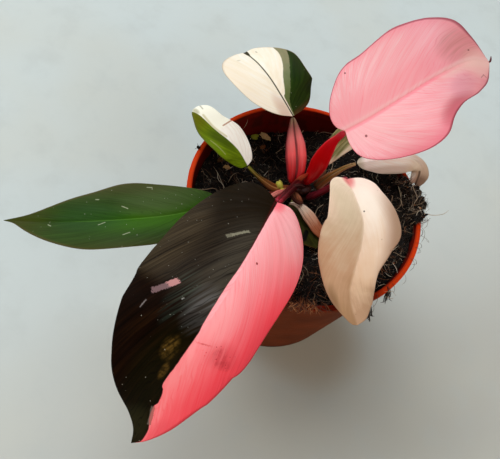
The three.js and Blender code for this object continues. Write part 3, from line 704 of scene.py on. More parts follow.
# %% Paint the half moon leaf
def paint_half_moon():
    leaf = Leaf("half_moon")
    a, b, way = leaf.a, leaf.b, leaf.way
    veins = leaf.streaks(70)
    wobble = (clouds(vector(a, b), 0.3) - 0.5) * 0.3

    dark = ramp(veins, (0.30, "#0a0300"), (0.5, "#140702"), (0.72, "#231205"))
    lines = leaf.lines(95)
    fine = leaf.streaks(120, 1)
    grain = 0.5 + (veins - 0.5) * 1.1 + (fine - 0.5) * 1.3
    # Painted sheen: a band of the dark half, from about 6 to 77 mm along, is painted lighter for a soft
    # reflection of the window.
    painted_sheen = step(a, 6, 36) * (1 - step(a, 60, 77))
    # Painted highlight: a grey streaky patch beside the midrib, about 70 mm along.
    shine = leaf.blot((70, 5), (13, 8)) * step(fine, 0.3, 0.75)
    torn = step(clouds(vector(a, b, 6), 0.5, 4, 0.7), 0.4, 0.55)
    dark = glaze(
        dark,
        # Painted sheen: the band near the midrib, the band over the half, and a brown sheen on the outer
        # part.
        (painted_sheen * (1 - step(b, 4, 17)) * (grain + 0.2), "#47423a"),
        (painted_sheen * grain * 0.7, "#40372a"),
        (leaf.blot((34, 34), (46, 16)) * grain * 0.8, "#54452f"),
        (leaf.blot((4, 12), (28, 24)) * 0.6, "#1d1508"),
        # Painted highlight and sheen: the grey highlight and a grey-green gloss beside the midrib.
        (shine * 0.8, "#5d5b5a"),
        (leaf.blot((70, 14), (16, 7)) * step(fine, 0.4, 0.7) * 0.5, "#3d4a40"),
        (leaf.specks(1.4, 0.3, 0.2, 9) * leaf.blot((66, 9), (22, 13)) * 0.6, "#a8aca4"),
        (leaf.blot((100, 4), (34, 14)) * 0.5, "#101302"),
        (leaf.blot((126, 3), (14, 8)) * 0.6, "#2f2e19"),
        (lines * 0.6, "#060301"),
        *((leaf.blot(*spot) * step(fine, 0.25, 0.7) * (0.2 + torn * 0.5), "#6e5222") for spot in
          (((88.5, 5.4), (6, 3.8)), ((97, 2.6), (5, 1.8)))),
        (leaf.ragged((28, 4.6), (33.5, 10.2), 1.5, 1.7) * 0.8, "#8d8873"),
        (leaf.ragged((33, 9.6), (35.2, 12), 2, 2) * 0.6, "#8a8470"),
        (leaf.ragged((64.6, 18.2), (69.4, 21.2), 3, 1.6) * 0.9, "#c98d8c"),
        (leaf.ragged((69, 20.6), (77, 25.4), 2.8, 2.4) * 0.8, "#85676a"),
        (leaf.ragged((81.6, 24.6), (85.1, 24.6), 0.6) * 0.7, "#8b8180"),
        (leaf.ragged((70.4, 12.4), (71.6, 13), 0.5, 0.6) * 0.7, "#a0a09a"),
        (leaf.stroke((-4, 0.75), (48, 0.75), 0.6, 0.3) * 0.8, "#4a0f10"),
        leaf.dust(0.9))

    # The pink deepens towards the tip and the outer margin: partly its own pigment, partly painted shade
    # where the half turns down, away from the light. The blot near the base that lowers the depth is a
    # painted highlight.
    outwards = ((-b - 3) / 27).maths("MAXIMUM", 0)
    depth = (0.08 + step(a, 15, 130) * 0.36 + outwards * (0.2 + step(a, 5, 60) * 0.54)
             - leaf.blot((2, -16), (26, 13)) * 0.14 + (veins - 0.5) * 0.2 + (fine - 0.5) * 0.25)
    pale = ramp(depth, (0, "#ffcacf"), (0.25, "#ffa9b0"), (0.5, "#ff7f8a"), (0.75, "#fb5360"),
                (1, "#c92d3a"))
    mottle = step(clouds(vector(a, b, 3), 0.5, 3, 0.6), 0.3, 0.7)
    pale = glaze(
        pale,
        (step(way, 0.6, 1) * step(a, 8, 30) * 0.35, "#f8586a"),
        (lines * 0.22, "#c83c4a"),
        (leaf.blot((0, 0), (9, 6)) * 0.7, "#f0566c"),
        # Painted highlight: a pale glow beside the midrib, about 69 mm along.
        (leaf.blot((69, -4), (14, 9)) * (0.05 + fine * 0.3), "#ffccd0"),
        (leaf.blot((124, -8), (10, 6)) * 0.25, "#b0444f"),
        (leaf.ragged((81.1, -0.7), (78.6, -7.4), 0.7, 0.8) * mottle * 0.6, "#9c3038"),
        *((leaf.blot(*spot) * (0.2 + mottle * 0.35) * step(fine, 0.1, 0.7), "#a0303a") for spot in
          (((80.6, -12), (5, 3.6)), ((83, -15.6), (4, 4.2)), ((79.5, -9.6), (3, 1.8)))),
        (leaf.specks(1.3, 0.25, 0.45, 5) * leaf.blot((81, -12), (9, 9)) * 0.7, "#96242e"),
        (leaf.blot((80.5, -13.5), (8, 9)) * 0.3, "#b8404a"),
        (leaf.specks(5, 0.16, 0.3, 4) * 0.5, "#b8323e"),
        (leaf.blot((41, -4.3), (0.8, 0.7)), "#3a1414"),
        (step(way, 0.965, 1) * 0.7, "#8c2630"))

    border = drawn(a, [(-14, 0.2), (0, -0.3), (15, 0.3), (45, 0.9), (64, 1.7), (72, 1.4), (80, 0.2),
                       (91, -0.1), (101, 0.4), (104, -0.7), (110, -1.4), (113, -0.4), (122, -2.2),
                       (128, -3), (132, -1.6), (136, 1.6)])
    pink_side = step(border - b + wobble, -0.2, 0.25)
    paint = glaze(
        dark,
        (pink_side, pale),
        (leaf.ragged((112.8, -0.3), (121.5, -1.9), 1.5) * 0.85, "#7a6c66"))
    # Painted light: a weak red emission on the pink half, weaker towards the coral margin, stands for the
    # light that comes through the leaf.
    glow = glaze("#000000", (pink_side * (1 - outwards * step(a, 45, 75) * 0.8), "#7c0004"))
    return leaf.finish(paint, 70, "#6b4a3a", 0.45, 0.03, glow)


# %% [markdown]
# ## The pink leaf
#
# A leaf with no chlorophyll at all. Its pink is deepest in the valley of the midrib and towards the margins,
# partly with painted shade where the right margin curls down. Near the tip, where the blade turns away and in
# a crease, painted shade greys it. Fine darker lines mark every side vein.

# %% Paint the pink leaf
def paint_pink():
    leaf = Leaf("pink")
    a, b, way = leaf.a, leaf.b, leaf.way
    veins = leaf.streaks(60)
    fine = leaf.streaks(110, 1)
    paint = ramp(veins * 0.5 + fine * 0.5, (0.3, "#feadb8"), (0.5, "#ffc4ce"), (0.7, "#ffd6dc"))
    left = step(-b, 0.5, 3) * (1 - step(-b, 8, 18))
    ridge = (1 - step(abs(b - 1), 0.6, 4.2)) * step(a, 45, 66)
    paint = glaze(
        paint,
        (leaf.lines(75) * 0.35, "#dd6c80"),
        (left * (0.2 + fine * 0.4), "#fd97a6"),
        (leaf.blot((10, 4), (26, 9)) * 0.5, "#ffccd2"),
        # Partly painted shade: deeper pink towards the right margin, where it curls down, and a dusky patch
        # there.
        (step(b, 14, 28) * 0.7, "#f08095"),
        (leaf.blot((59, 20), (19, 10)) * 0.95, "#b0505c"),
        (step(way, 0.84, 1) * 0.45, "#f2849a"),
        # Painted shade: a greyer lilac patch near the tip, where the blade turns away.
        (leaf.blot((67, 10), (13, 7)) * 0.5, "#dba0b6"),
        (step(a, 32, 54) * 0.3, "#f795a4"),
        # Painted shade: greyer pink towards the tip, where the blade turns away.
        (step(a, 56, 82) * 0.5, "#dc9092"),
        (leaf.blot((85, 1), (17, 10)) * 0.65, "#f4c8bf"),
        (ridge * 0.55, "#f2c8bf"),
        # Painted shade: a streaky brownish patch in the crease near the tip.
        (leaf.blot((73, -10), (18, 10)) * (fine * 0.8), "#b9746e"),
        ((1 - step(abs(b - 0.3), 0.3, 1.5)) * (1 - step(a, 45, 85)) * 0.5, "#f7748b"),
        ((1 - step(abs(b + 1.3), 0.2, 1.4)) * 0.3, "#ffd2d4"),
        *((leaf.blot(centre, reach) * 0.85, "#46232a") for centre, reach in
          (((7.5, 6.8), (0.8, 0.9)), ((13, -24), (0.7, 0.6)), ((79, -5.5), (0.8, 0.5)))),
        (leaf.stroke((83, 9.3), (86, 7.8), 0.5) * 0.6, "#8f5a55"),
        (leaf.stroke((86, 7.8), (88, 9), 0.5) * 0.6, "#8f5a55"),
        (step(way, 0.965, 0.99) * 0.75, "#8a3448"))
    # Painted light: a weak red emission, weaker towards the tip, stands for the light that comes through the
    # leaf.
    glow = glaze("#5c0004", (step(a, 40, 70) * 0.7, "#000000"))
    return leaf.finish(paint, 60, "#e0a3a6", 0.5, 0.1, glow)


# %% [markdown]
# ## The cream leaves
#
# The front leaf and the drooping one carry neither green nor much red. They are cream with a flush of pink
# where the stalk joins, and tan where the thin tissue ages. Painted shade darkens the half of the front leaf
# that faces away from the window, more so in a crease near its tip, and the underside of the drooping
# leaf's curled tip. A leaf like this is never one even colour.

# %% Paint the cream leaves
def paint_cream_front():
    leaf = Leaf("cream_front")
    a, b, way = leaf.a, leaf.b, leaf.way
    veins = leaf.streaks(30)
    mottle = clouds(vector(a, b), 0.16, 3)
    fine = leaf.streaks(80, 1)
    shade = a / 75 + (veins - 0.5) * 0.2 + (fine - 0.5) * 0.2 + (mottle - 0.5) * 0.3
    # Painted shade: the `right` ramp, for the half that faces away from the window, is a darker copy of the
    # cream.
    right = ramp(shade, (0, "#fde6d0"), (0.2, "#e8d0b6"), (0.42, "#d8bc9f"), (0.65, "#cca282"),
                 (0.9, "#b88f6a"))
    left = ramp(shade, (0, "#fbe0d2"), (0.25, "#f6e4d4"), (0.5, "#ebd0b8"), (0.7, "#e6c6a8"),
                (0.9, "#c9a284"))
    outer = step(-b, 6.5, 15)
    freckles = leaf.specks(4, 0.25, 0.4)
    paint = glaze(
        right,
        (step(-b, -1.6, 0.4), left),
        (leaf.blot((14, 8), (18, 9)) * 0.5, "#d6c2a2"),
        (outer * 0.5, "#dcb3a4"),
        (outer * step(a, 8, 26) * 0.95, "#a3826a"),
        (leaf.blot((19, -4), (13, 5)) * 0.5, "#fff2e6"),
        # Painted shade: near the tip this half turns away from the light at a crease, and is darkened to tan
        # brown.
        (leaf.blot((62, 11), (9, 5)) * 0.9, "#8c6848"),
        (step(b, 10, 20) * step(a, 34, 52) * 0.6, "#a5734c"),
        (step(b, 9, 18) * (1 - step(a, 14, 34)) * 0.4, "#e6b8a2"),
        (leaf.blot((0, 0), (9, 4)) * 0.8, "#d8545c"),
        (leaf.blot((21, -1.2), (0.55, 0.5)), "#2f2620"),
        (freckles * 0.4, "#8d6a4c"),
        (step(way, 0.96, 1) * 0.45, "#a9806a"))
    return leaf.finish(paint, 30, "#c9b394", 0.5, 0.1)


def paint_drooping():
    leaf = Leaf("drooping")
    a, b = leaf.a, leaf.b
    veins = leaf.streaks(26)
    paint = ramp(veins, (0.3, "#fbe8dc"), (0.5, "#fff4ea"), (0.7, "#fffcf6"))
    paint = glaze(
        paint,
        (step(b, 2, 5) * 0.75, "#cfb2a2"),
        (step(b, 6.5, 9) * 0.6, "#8d7a62"),
        ((1 - step(a, 1, 5)) * 0.6, "#9a9460"),
        (step(a, 24, 38) * 0.6, "#dcbc98"),
        (step(a, 38, 43) * 0.5, "#b08a66"),
        # Painted shade: the curled tip is dark brown where its underside lies in shadow.
        (step(a, 42, 46) * (1 - step(b, -1.5, 0.5)) * 0.7, "#5a3418"),
        (leaf.blot((46.5, 2.6), (4, 1.8)) * 0.9, "#efe6d8"),
        # Painted shade: a dark brown strip along the curled tip, for its underside in shadow.
        (leaf.stroke((42.5, 0.3), (50, -0.8), 1) * 0.8, "#4a3224"))
    return leaf.finish(paint, 26, "#b9a68d", 0.5, 0.1)


# %% [markdown]
# ## The two-coloured leaves at the back
#
# The cream and green leaf has three sectors: cream, a band of grey green where the layers of tissue
# overlap, and full green. The small lime leaf is split along its midrib, white on one half and yellow
# green on the other, with a crease across the white half.

# %% Paint the cream and green leaf, and the lime and white leaf
def paint_cream_green():
    leaf = Leaf("cream_green")
    a, b, way = leaf.a, leaf.b, leaf.way
    veins = leaf.streaks(26)
    wobble = (clouds(vector(a, b), 0.5) - 0.5) * 1.2
    cream = ramp(veins, (0.3, "#f9ecd4"), (0.5, "#fff5e2"), (0.7, "#fffaf0"))
    cream = glaze(
        cream,
        (step(-b, 4, 18) * 0.5, "#f5e0c6"),
        (leaf.blot((5, -4), (12, 5)) * 0.6, "#d9b6a0"),
        (leaf.blot((42, 4.8), (1.3, 0.6)) * 0.6, "#9c8f70"),
        (leaf.blot((39.3, -8), (0.8, 1.6)) * 0.35, "#a8905f"))
    grey = ramp(clouds(vector(a, b), 0.35) * 0.3 + step(a, 8, 34) * 0.6,
                (0, "#5c6c33"), (0.45, "#77805a"), (0.9, "#9a8f70"))
    green = ramp(veins, (0.3, "#182a08"), (0.5, "#22370c"), (0.75, "#304812"))
    green = glaze(
        green,
        (step(b, 13, 21) * 0.5, "#2e3319"),
        ((1 - step(a, 0, 3)) * 0.6, "#5a3020"),
        leaf.dust(0.4, 5))
    outer = drawn(a, [(0, 1), (5, 2), (8, 3.2), (12, 6), (18, 9.6), (25, 14.2), (30, 17),
                      (36, 19.8), (46, 24)])
    inner = drawn(a, [(0, 0.5), (5, 0.9), (11, 1.4), (12, 2.4), (20, 6.4), (25, 9.8), (30, 12.4),
                      (35, 14), (41, 14.6), (47, 15)])
    line = 0.32 + step(a, 40, 45) * 0.9
    paint = glaze(
        cream,
        (step(b - inner + wobble * 0.3, -0.25, 0.25), grey),
        (step(b - outer + wobble, -0.3, 0.3), green),
        (1 - step(abs(b - 0.1) - line, -0.12, 0.25), "#38331b"),
        (step(way, 0.97, 1) * 0.4, "#b08d6a"))
    return leaf.finish(paint, 26, "#c9bb93", 0.42, 0.1)


def paint_lime():
    leaf = Leaf("lime")
    a, b, way = leaf.a, leaf.b, leaf.way
    veins = leaf.streaks(20)
    white = ramp(veins, (0.3, "#f0e6dc"), (0.5, "#fcf5ec"), (0.7, "#fffdf6"))
    white = glaze(
        white,
        (step(a + b * 0.35, 22.5, 24.5), "#fffdee"),
        (leaf.stroke((20, 10.5), (22.4, 5), 0.7) * 0.9, "#a0562a"),
        (leaf.stroke((36.6, 3.5), (38.8, 3.9), 0.6) * 0.6, "#5c5a2e"),
        (leaf.stroke((18, 1), (34, 1.3), 1.1, 0.5) * 0.7, "#c8bd8a"))
    green = ramp(veins, (0.3, "#4c6004"), (0.5, "#5d7306"), (0.7, "#72880e"))
    green = glaze(
        green,
        (leaf.blot((19, -2.5), (10, 5)) * 0.75, "#384601"),
        (step(a, 24, 34) * 0.7, "#645e08"),
        (leaf.ragged((13, -9.4), (23, -7.9), 0.7, 0.7) * 0.55, "#a3a06a"),
        (step(way, 0.93, 1) * 0.5, "#59561f"))
    border = drawn(a, [(0, 0.1), (15, 0.1), (20, 0.3), (26, 0.7), (32, 0.3), (36, -0.6), (40, -2.4)])
    paint = glaze(
        green,
        (step(b - border, -0.2, 0.2), white),
        (leaf.blot((38, 0), (3, 2)) * 0.6, "#8f8c5c"))
    return leaf.finish(paint, 20, "#b9b58a", 0.42, 0.1)


# %% [markdown]
# ## The green leaves
#
# The long leaf, the striped one and the low one are what this plant grows when it forgets to variegate.
# They are darkest at the margins and brightest along the midrib, where new tissue was made last.

# %% Paint the green, striped and low leaves
def paint_green():
    leaf = Leaf("green")
    a, b, way = leaf.a, leaf.b, leaf.way
    veins = leaf.streaks(46)
    fine = leaf.streaks(90, 1)
    paint = ramp(veins * 0.6 + fine * 0.4, (0.3, "#203409"), (0.5, "#2a440f"), (0.72, "#365418"))
    middle = (1 - step(abs(b + 1.5), 1, 9)) * (1 - step(a, 36, 66))
    paint = glaze(
        paint,
        (middle * (0.65 + fine * 0.4), "#346200"),
        (leaf.blot((58, 1), (24, 9)) * 0.5, "#224a1c"),
        (leaf.blot((24, 8), (26, 10)) * 0.5, "#4e6034"),
        (step(abs(b), 8, 17) * 0.75, "#44431f"),
        (step(a, 66, 98) * 0.7, "#433f10"),
        (leaf.lines(40) * 0.3, "#1f3409"),
        (step(way, 0.955, 1) * 0.6, "#5f5030"),
        ((1 - step(abs(b), 0.1, 0.5)) * 0.2 * (1 - step(a, 50, 80)), "#6fa83c"),
        *((leaf.ragged(start, end, 0.4, 0.4) * 0.6, "#c9cfae") for start, end in
          (((40, 5), (43, 6.5)), ((50, -1), (53, -2.4)), ((54, 10.6), (56, 10.8)),
           ((28, 15), (31, 15.4)), ((39, -7.5), (42, -8.5)), ((75, -2.5), (77, -1.6)))),
        leaf.dust(1.3, 2))
    return leaf.finish(paint, 46, "#6a7a4a", 0.42, 0.05)


def paint_striped():
    leaf = Leaf("striped")
    a, b = leaf.a, leaf.b
    veins = leaf.streaks(18)
    lines = clouds(vector(b * 1.1, a * 0.06), 1, 2)
    paint = ramp(lines * 0.7 + veins * 0.3, (0.32, "#4c4c24"), (0.45, "#6d6a3c"), (0.58, "#96905e"),
                 (0.7, "#c9bb94"))
    paint = glaze(
        paint,
        (step(b, 2.2, 4) * 0.8, "#dccbb0"),
        ((1 - step(a, 2, 8)) * step(b, 0.5, 1.5) * 0.7, "#e3b9a4"))
    return leaf.finish(paint, 18, "#9a9468", 0.45, 0.1)


def paint_low():
    leaf = Leaf("low")
    a, way = leaf.a, leaf.way
    veins = leaf.streaks(18)
    paint = ramp(veins, (0.3, "#221f08"), (0.5, "#30300d"), (0.7, "#414214"))
    paint = glaze(
        paint,
        ((1 - step(a, 0, 10)) * 0.6, "#2c2410"),
        # A hole in the blade, painted near black for the dark soil and its shade seen through it: partly
        # painted shade.
        (leaf.stroke((17.6, 1), (20.6, 4.2), 2.4, 0.4), "#040302"),
        (step(way, 0.94, 1) * 0.5, "#6b4a2a"))
    return leaf.finish(paint, 18, "#5e6440", 0.45, 0.08)


# %% Make the nine leaves
LEAF_PAINTS = {
    "half_moon": (paint_half_moon, "leaf_black_and_pink", 150, 26),    # slot, columns, rows
    "pink": (paint_pink, "leaf_pink", 130, 24),
    "cream_front": (paint_cream_front, "leaf_cream", 100, 20),
    "cream_green": (paint_cream_green, "leaf_cream_and_green", 80, 20),
    "green": (paint_green, "leaf_green", 110, 18),
    "lime": (paint_lime, "leaf_lime_and_white", 70, 16),
    "drooping": (paint_drooping, "leaf_cream", 90, 16),
    "striped": (paint_striped, "leaf_striped", 60, 14),
    "low": (paint_low, "leaf_green", 50, 14),
}


def box_gap(piece, node):
    """The largest difference between a piece's box and its CAD node's, in millimetres."""
    points = np.array([v.co for v in piece.data.vertices])
    ends = np.array([points.min(0), points.max(0)]) - np.array(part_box(node))
    return round(float(np.abs(ends).max()) / MM, 2)


def place_piece(piece, slot, *nodes):
    """Attaches the piece to the root, hides the CAD nodes that it stands for and prints its box. The slot is
    not used.
    """
    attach(piece, "root")
    if nodes:
        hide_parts(*nodes)
    print(piece.name, len(piece.data.polygons), "faces, box within", [box_gap(piece, n) for n in nodes],
          "mm")


for name, (paint_it, slot, columns, rows) in LEAF_PAINTS.items():
    place_piece(make_blade(name, paint_it(), columns, rows), slot, f"blade_{name}")


# %% [markdown]
# ## Geometry Nodes trees
#
# What follows a path, is turned on a lathe or repeats hundreds of times is made by a Geometry Nodes tree,
# so its sizes stay inputs that can be changed. A tree runs on a base mesh that the script draws. The result
# is kept as a plain mesh, because an export sees no modifiers and no instances.

# %% Trees: begin, end and run
def new_tree(name, *inputs):
    """A tree with the named inputs (label, kind, value). Gives it with a wire for the base and each input."""
    tree = bpy.data.node_groups.new(name, "GeometryNodeTree")
    tree.interface.new_socket("Geometry", in_out="OUTPUT", socket_type="NodeSocketGeometry")
    tree.interface.new_socket("Base", in_out="INPUT", socket_type="NodeSocketGeometry")
    for label, kind, value in inputs:
        socket = tree.interface.new_socket(label, in_out="INPUT", socket_type=f"NodeSocket{kind}")
        if value is not None:
            socket.default_value = value
    given = tree.nodes.new("NodeGroupInput")
    return tree, [Wire(tree, output) for output in given.outputs[:-1]]


def end_tree(tree, geometry, paint):
    """Ends a tree with real, smooth faces in their material."""
    smooth = geometry.then("RealizeInstances").then("SetShadeSmooth")
    painted = smooth.then("SetMaterial", {"Material": paint})
    tree.links.new(painted.socket, tree.nodes.new("NodeGroupOutput").inputs[0])
    return tree


def grow(name, tree, base, **values):
    """Runs the tree on the base object, and keeps the result as a plain mesh object."""
    modifier = base.modifiers.new("grow", "NODES")
    modifier.node_group = tree
    sockets = {item.name.lower(): item.identifier for item in tree.interface.items_tree
               if item.in_out == "INPUT"}
    for label, value in values.items():
        modifier[sockets[label.replace("_", " ")]] = value
    graph = bpy.context.evaluated_depsgraph_get()
    mesh = bpy.data.meshes.new_from_object(base.evaluated_get(graph), preserve_all_data_layers=True,
                                           depsgraph=graph)
    mesh.name = name
    if mesh.materials and mesh.materials[0] is None:
        mesh.materials.pop(index=0)
    piece = show(bpy.data.objects.new(name, mesh))
    bpy.data.objects.remove(base)
    return piece


def new_line(name, points, layers=None):
    """A base object for a tree: a line of edges through points in millimetres."""
    return new_piece(name, points, layers=layers, edges=[(i, i + 1) for i in range(len(points) - 1)])


def named(start, name):
    """The numbers of a base object's attribute."""
    return start.node("GeometryNodeInputNamedAttribute", {"data_type": "FLOAT_VECTOR"}, {"Name": name},
                      "Attribute")


def store_on(geometry, name, value):
    return geometry.then("StoreNamedAttribute", {"Name": name, "Value": value},
                         {"data_type": "FLOAT_VECTOR", "domain": "POINT"})


def unit_grid(start, along, across):
    """A grid for a shape to be wrapped from, with the share along it and the turn across it."""
    grid = start.node("GeometryNodeMeshGrid", inputs={
        "Size X": 1.0, "Size Y": 1.0, "Vertices X": along, "Vertices Y": across})
    x, y, _ = start.node("GeometryNodeInputPosition").xyz()
    return grid, x + 0.5, y * (2 * math.pi)


def wrapped(grid, place):
    """The grid with its points moved, and closed where they meet."""
    return grid.then("SetPosition", {"Position": place}).then("MergeByDistance", {"Distance": 0.01 * MM})


# %% [markdown]
# ## Stalks and sheaths: the shape
#
# A philodendron's stalk is an oval rod with a groove on its upper face, and its base widens into wings that
# once wrapped the next leaf. A dried sheath is such a wing on its own. A curve with a bevel would give a
# round cord. This tree wraps a grid round the path instead: one grid direction is the way along the path,
# the other goes round the section. The attribute `round` keeps the cosine and sine of the way round and the
# share along, for the paint.

# %% The tree that wraps a skin round a path
GROOVE_SHARE = 0.3     # how much of the half width the groove takes


def skin_tree():
    tree, (base, steps, sides, face, groove, bow, paint) = new_tree(
        "skin along a path", ("Steps", "Int", 90), ("Sides", "Int", 48), ("Face", "Vector", (0, 0, 1)),
        ("Groove", "Float", 0.0), ("Bow", "Float", 0.0), ("Paint", "Material", None))
    line = base.then("MeshToCurve")
    grid, share, turn = unit_grid(base, steps, sides)
    sample = line.then("SampleCurve", {"Value": named(base, "half"), "Factor": share},
                       {"data_type": "FLOAT_VECTOR", "mode": "FACTOR", "use_all_curves": True}, "Value")
    width, depth, _ = sample.xyz()
    ahead = sample.other("Tangent")
    front = face.vectors("SUBTRACT", ahead.scaled(face.vectors("DOT_PRODUCT", ahead))).vectors("NORMALIZE")
    across = front.vectors("CROSS_PRODUCT", ahead)

    cosine, sine = turn.maths("COSINE"), turn.maths("SINE")
    to_end = (0.5 - abs(share - 0.5)) * line.then("CurveLength")
    near = 1.0 - (to_end / depth).maths("MINIMUM", 1.0)
    full = (1.0 - near ** 2.0) ** 0.5
    dip = groove * (-((cosine / GROOVE_SHARE) ** 2.0)).maths("EXPONENT") * (sine > 0.0)
    stand = (depth * sine - dip + bow * cosine * cosine) * full
    beyond = (share - 0.5).maths("SIGN") * depth * near * 0.5
    place = sample.other("Position")
    for direction, amount in ((across, width * cosine * full), (front, stand), (ahead, beyond)):
        place = place.vectors("ADD", direction.scaled(amount))
    skin = wrapped(store_on(grid, "round", vector(cosine, sine, share)), place)
    return end_tree(tree, skin, paint)


SKIN = skin_tree()


def make_skin(name, paint, path, width, depth, face, groove=0.0, bow=0.0):
    line = Curve(path)
    share = np.linspace(0, 1, 60)
    half = np.stack([evenly(width, share), evenly(depth, share), 0 * share], -1) * MM
    base = new_line(f"{name}_path", line.at(share), {"half": half})
    return grow(name, SKIN, base, face=face, groove=groove * MM, bow=bow * MM, paint=paint)


# %% [markdown]
# ## Stalks and sheaths: the paint
#
# The stalks are the reddest part of the plant. Their skin is glossy, with fine lines along it, paler or
# darker at the wings and dark in the groove; on the pink leaf's red stalk the paler edges are a painted
# highlight. A dried sheath has lost its pigment: it is papery, tan, with brown streaks, and its torn end is
# darkest.

# %% Paint a stalk, and a dried sheath
def paint_stalk(name, along_it, edge, groove, back, shine=0.3):
    material, start = new_paint(f"stalk_{name}")
    cosine, sine, share = attribute(start, "round")
    lines = clouds(vector(cosine * 7.0, sine * 7.0, share * 2.0), 1.0, 3.0)
    fine = clouds(vector(cosine * 22.0, sine * 22.0, share * 5.0), 1.0, 1.0)
    paint = ramp(share, *along_it)
    valley = (1.0 - step(abs(cosine), 0.04, 0.2)) * (sine > 0.0)
    paint = glaze(
        paint,
        (step(lines, 0.48, 0.75) * 0.45, edge),
        (step(abs(cosine), 0.78, 1.0) * 0.75, edge),
        (step(-sine, 0.1, 0.7) * 0.6, back),
        (valley * (0.35 + lines * 0.9), groove))
    return finish_paint(material, paint, shine + (fine - 0.5) * 0.15, lines * 0.6 + fine * 0.4, 0.12 * MM,
                        specular_ior_level=0.2)


def paint_dry(name, along_it, streak):
    material, start = new_paint(name)
    cosine, sine, share = attribute(start, "round")
    lines = clouds(vector(cosine * 5.0, sine * 2.0, share * 1.6), 1.0, 4.0, 0.65)
    patches = clouds(vector(cosine * 1.5, sine, share * 4.0), 1.0, 3.0)
    paint = ramp(share + (patches - 0.5) * 0.25, *along_it)
    paint = glaze(
        paint,
        (step(lines, 0.5, 0.66) * 0.7, streak),
        (step(abs(cosine), 0.85, 1.0) * 0.6, streak))
    return finish_paint(material, paint, 0.75, lines, 0.35 * MM, specular_ior_level=0.3)


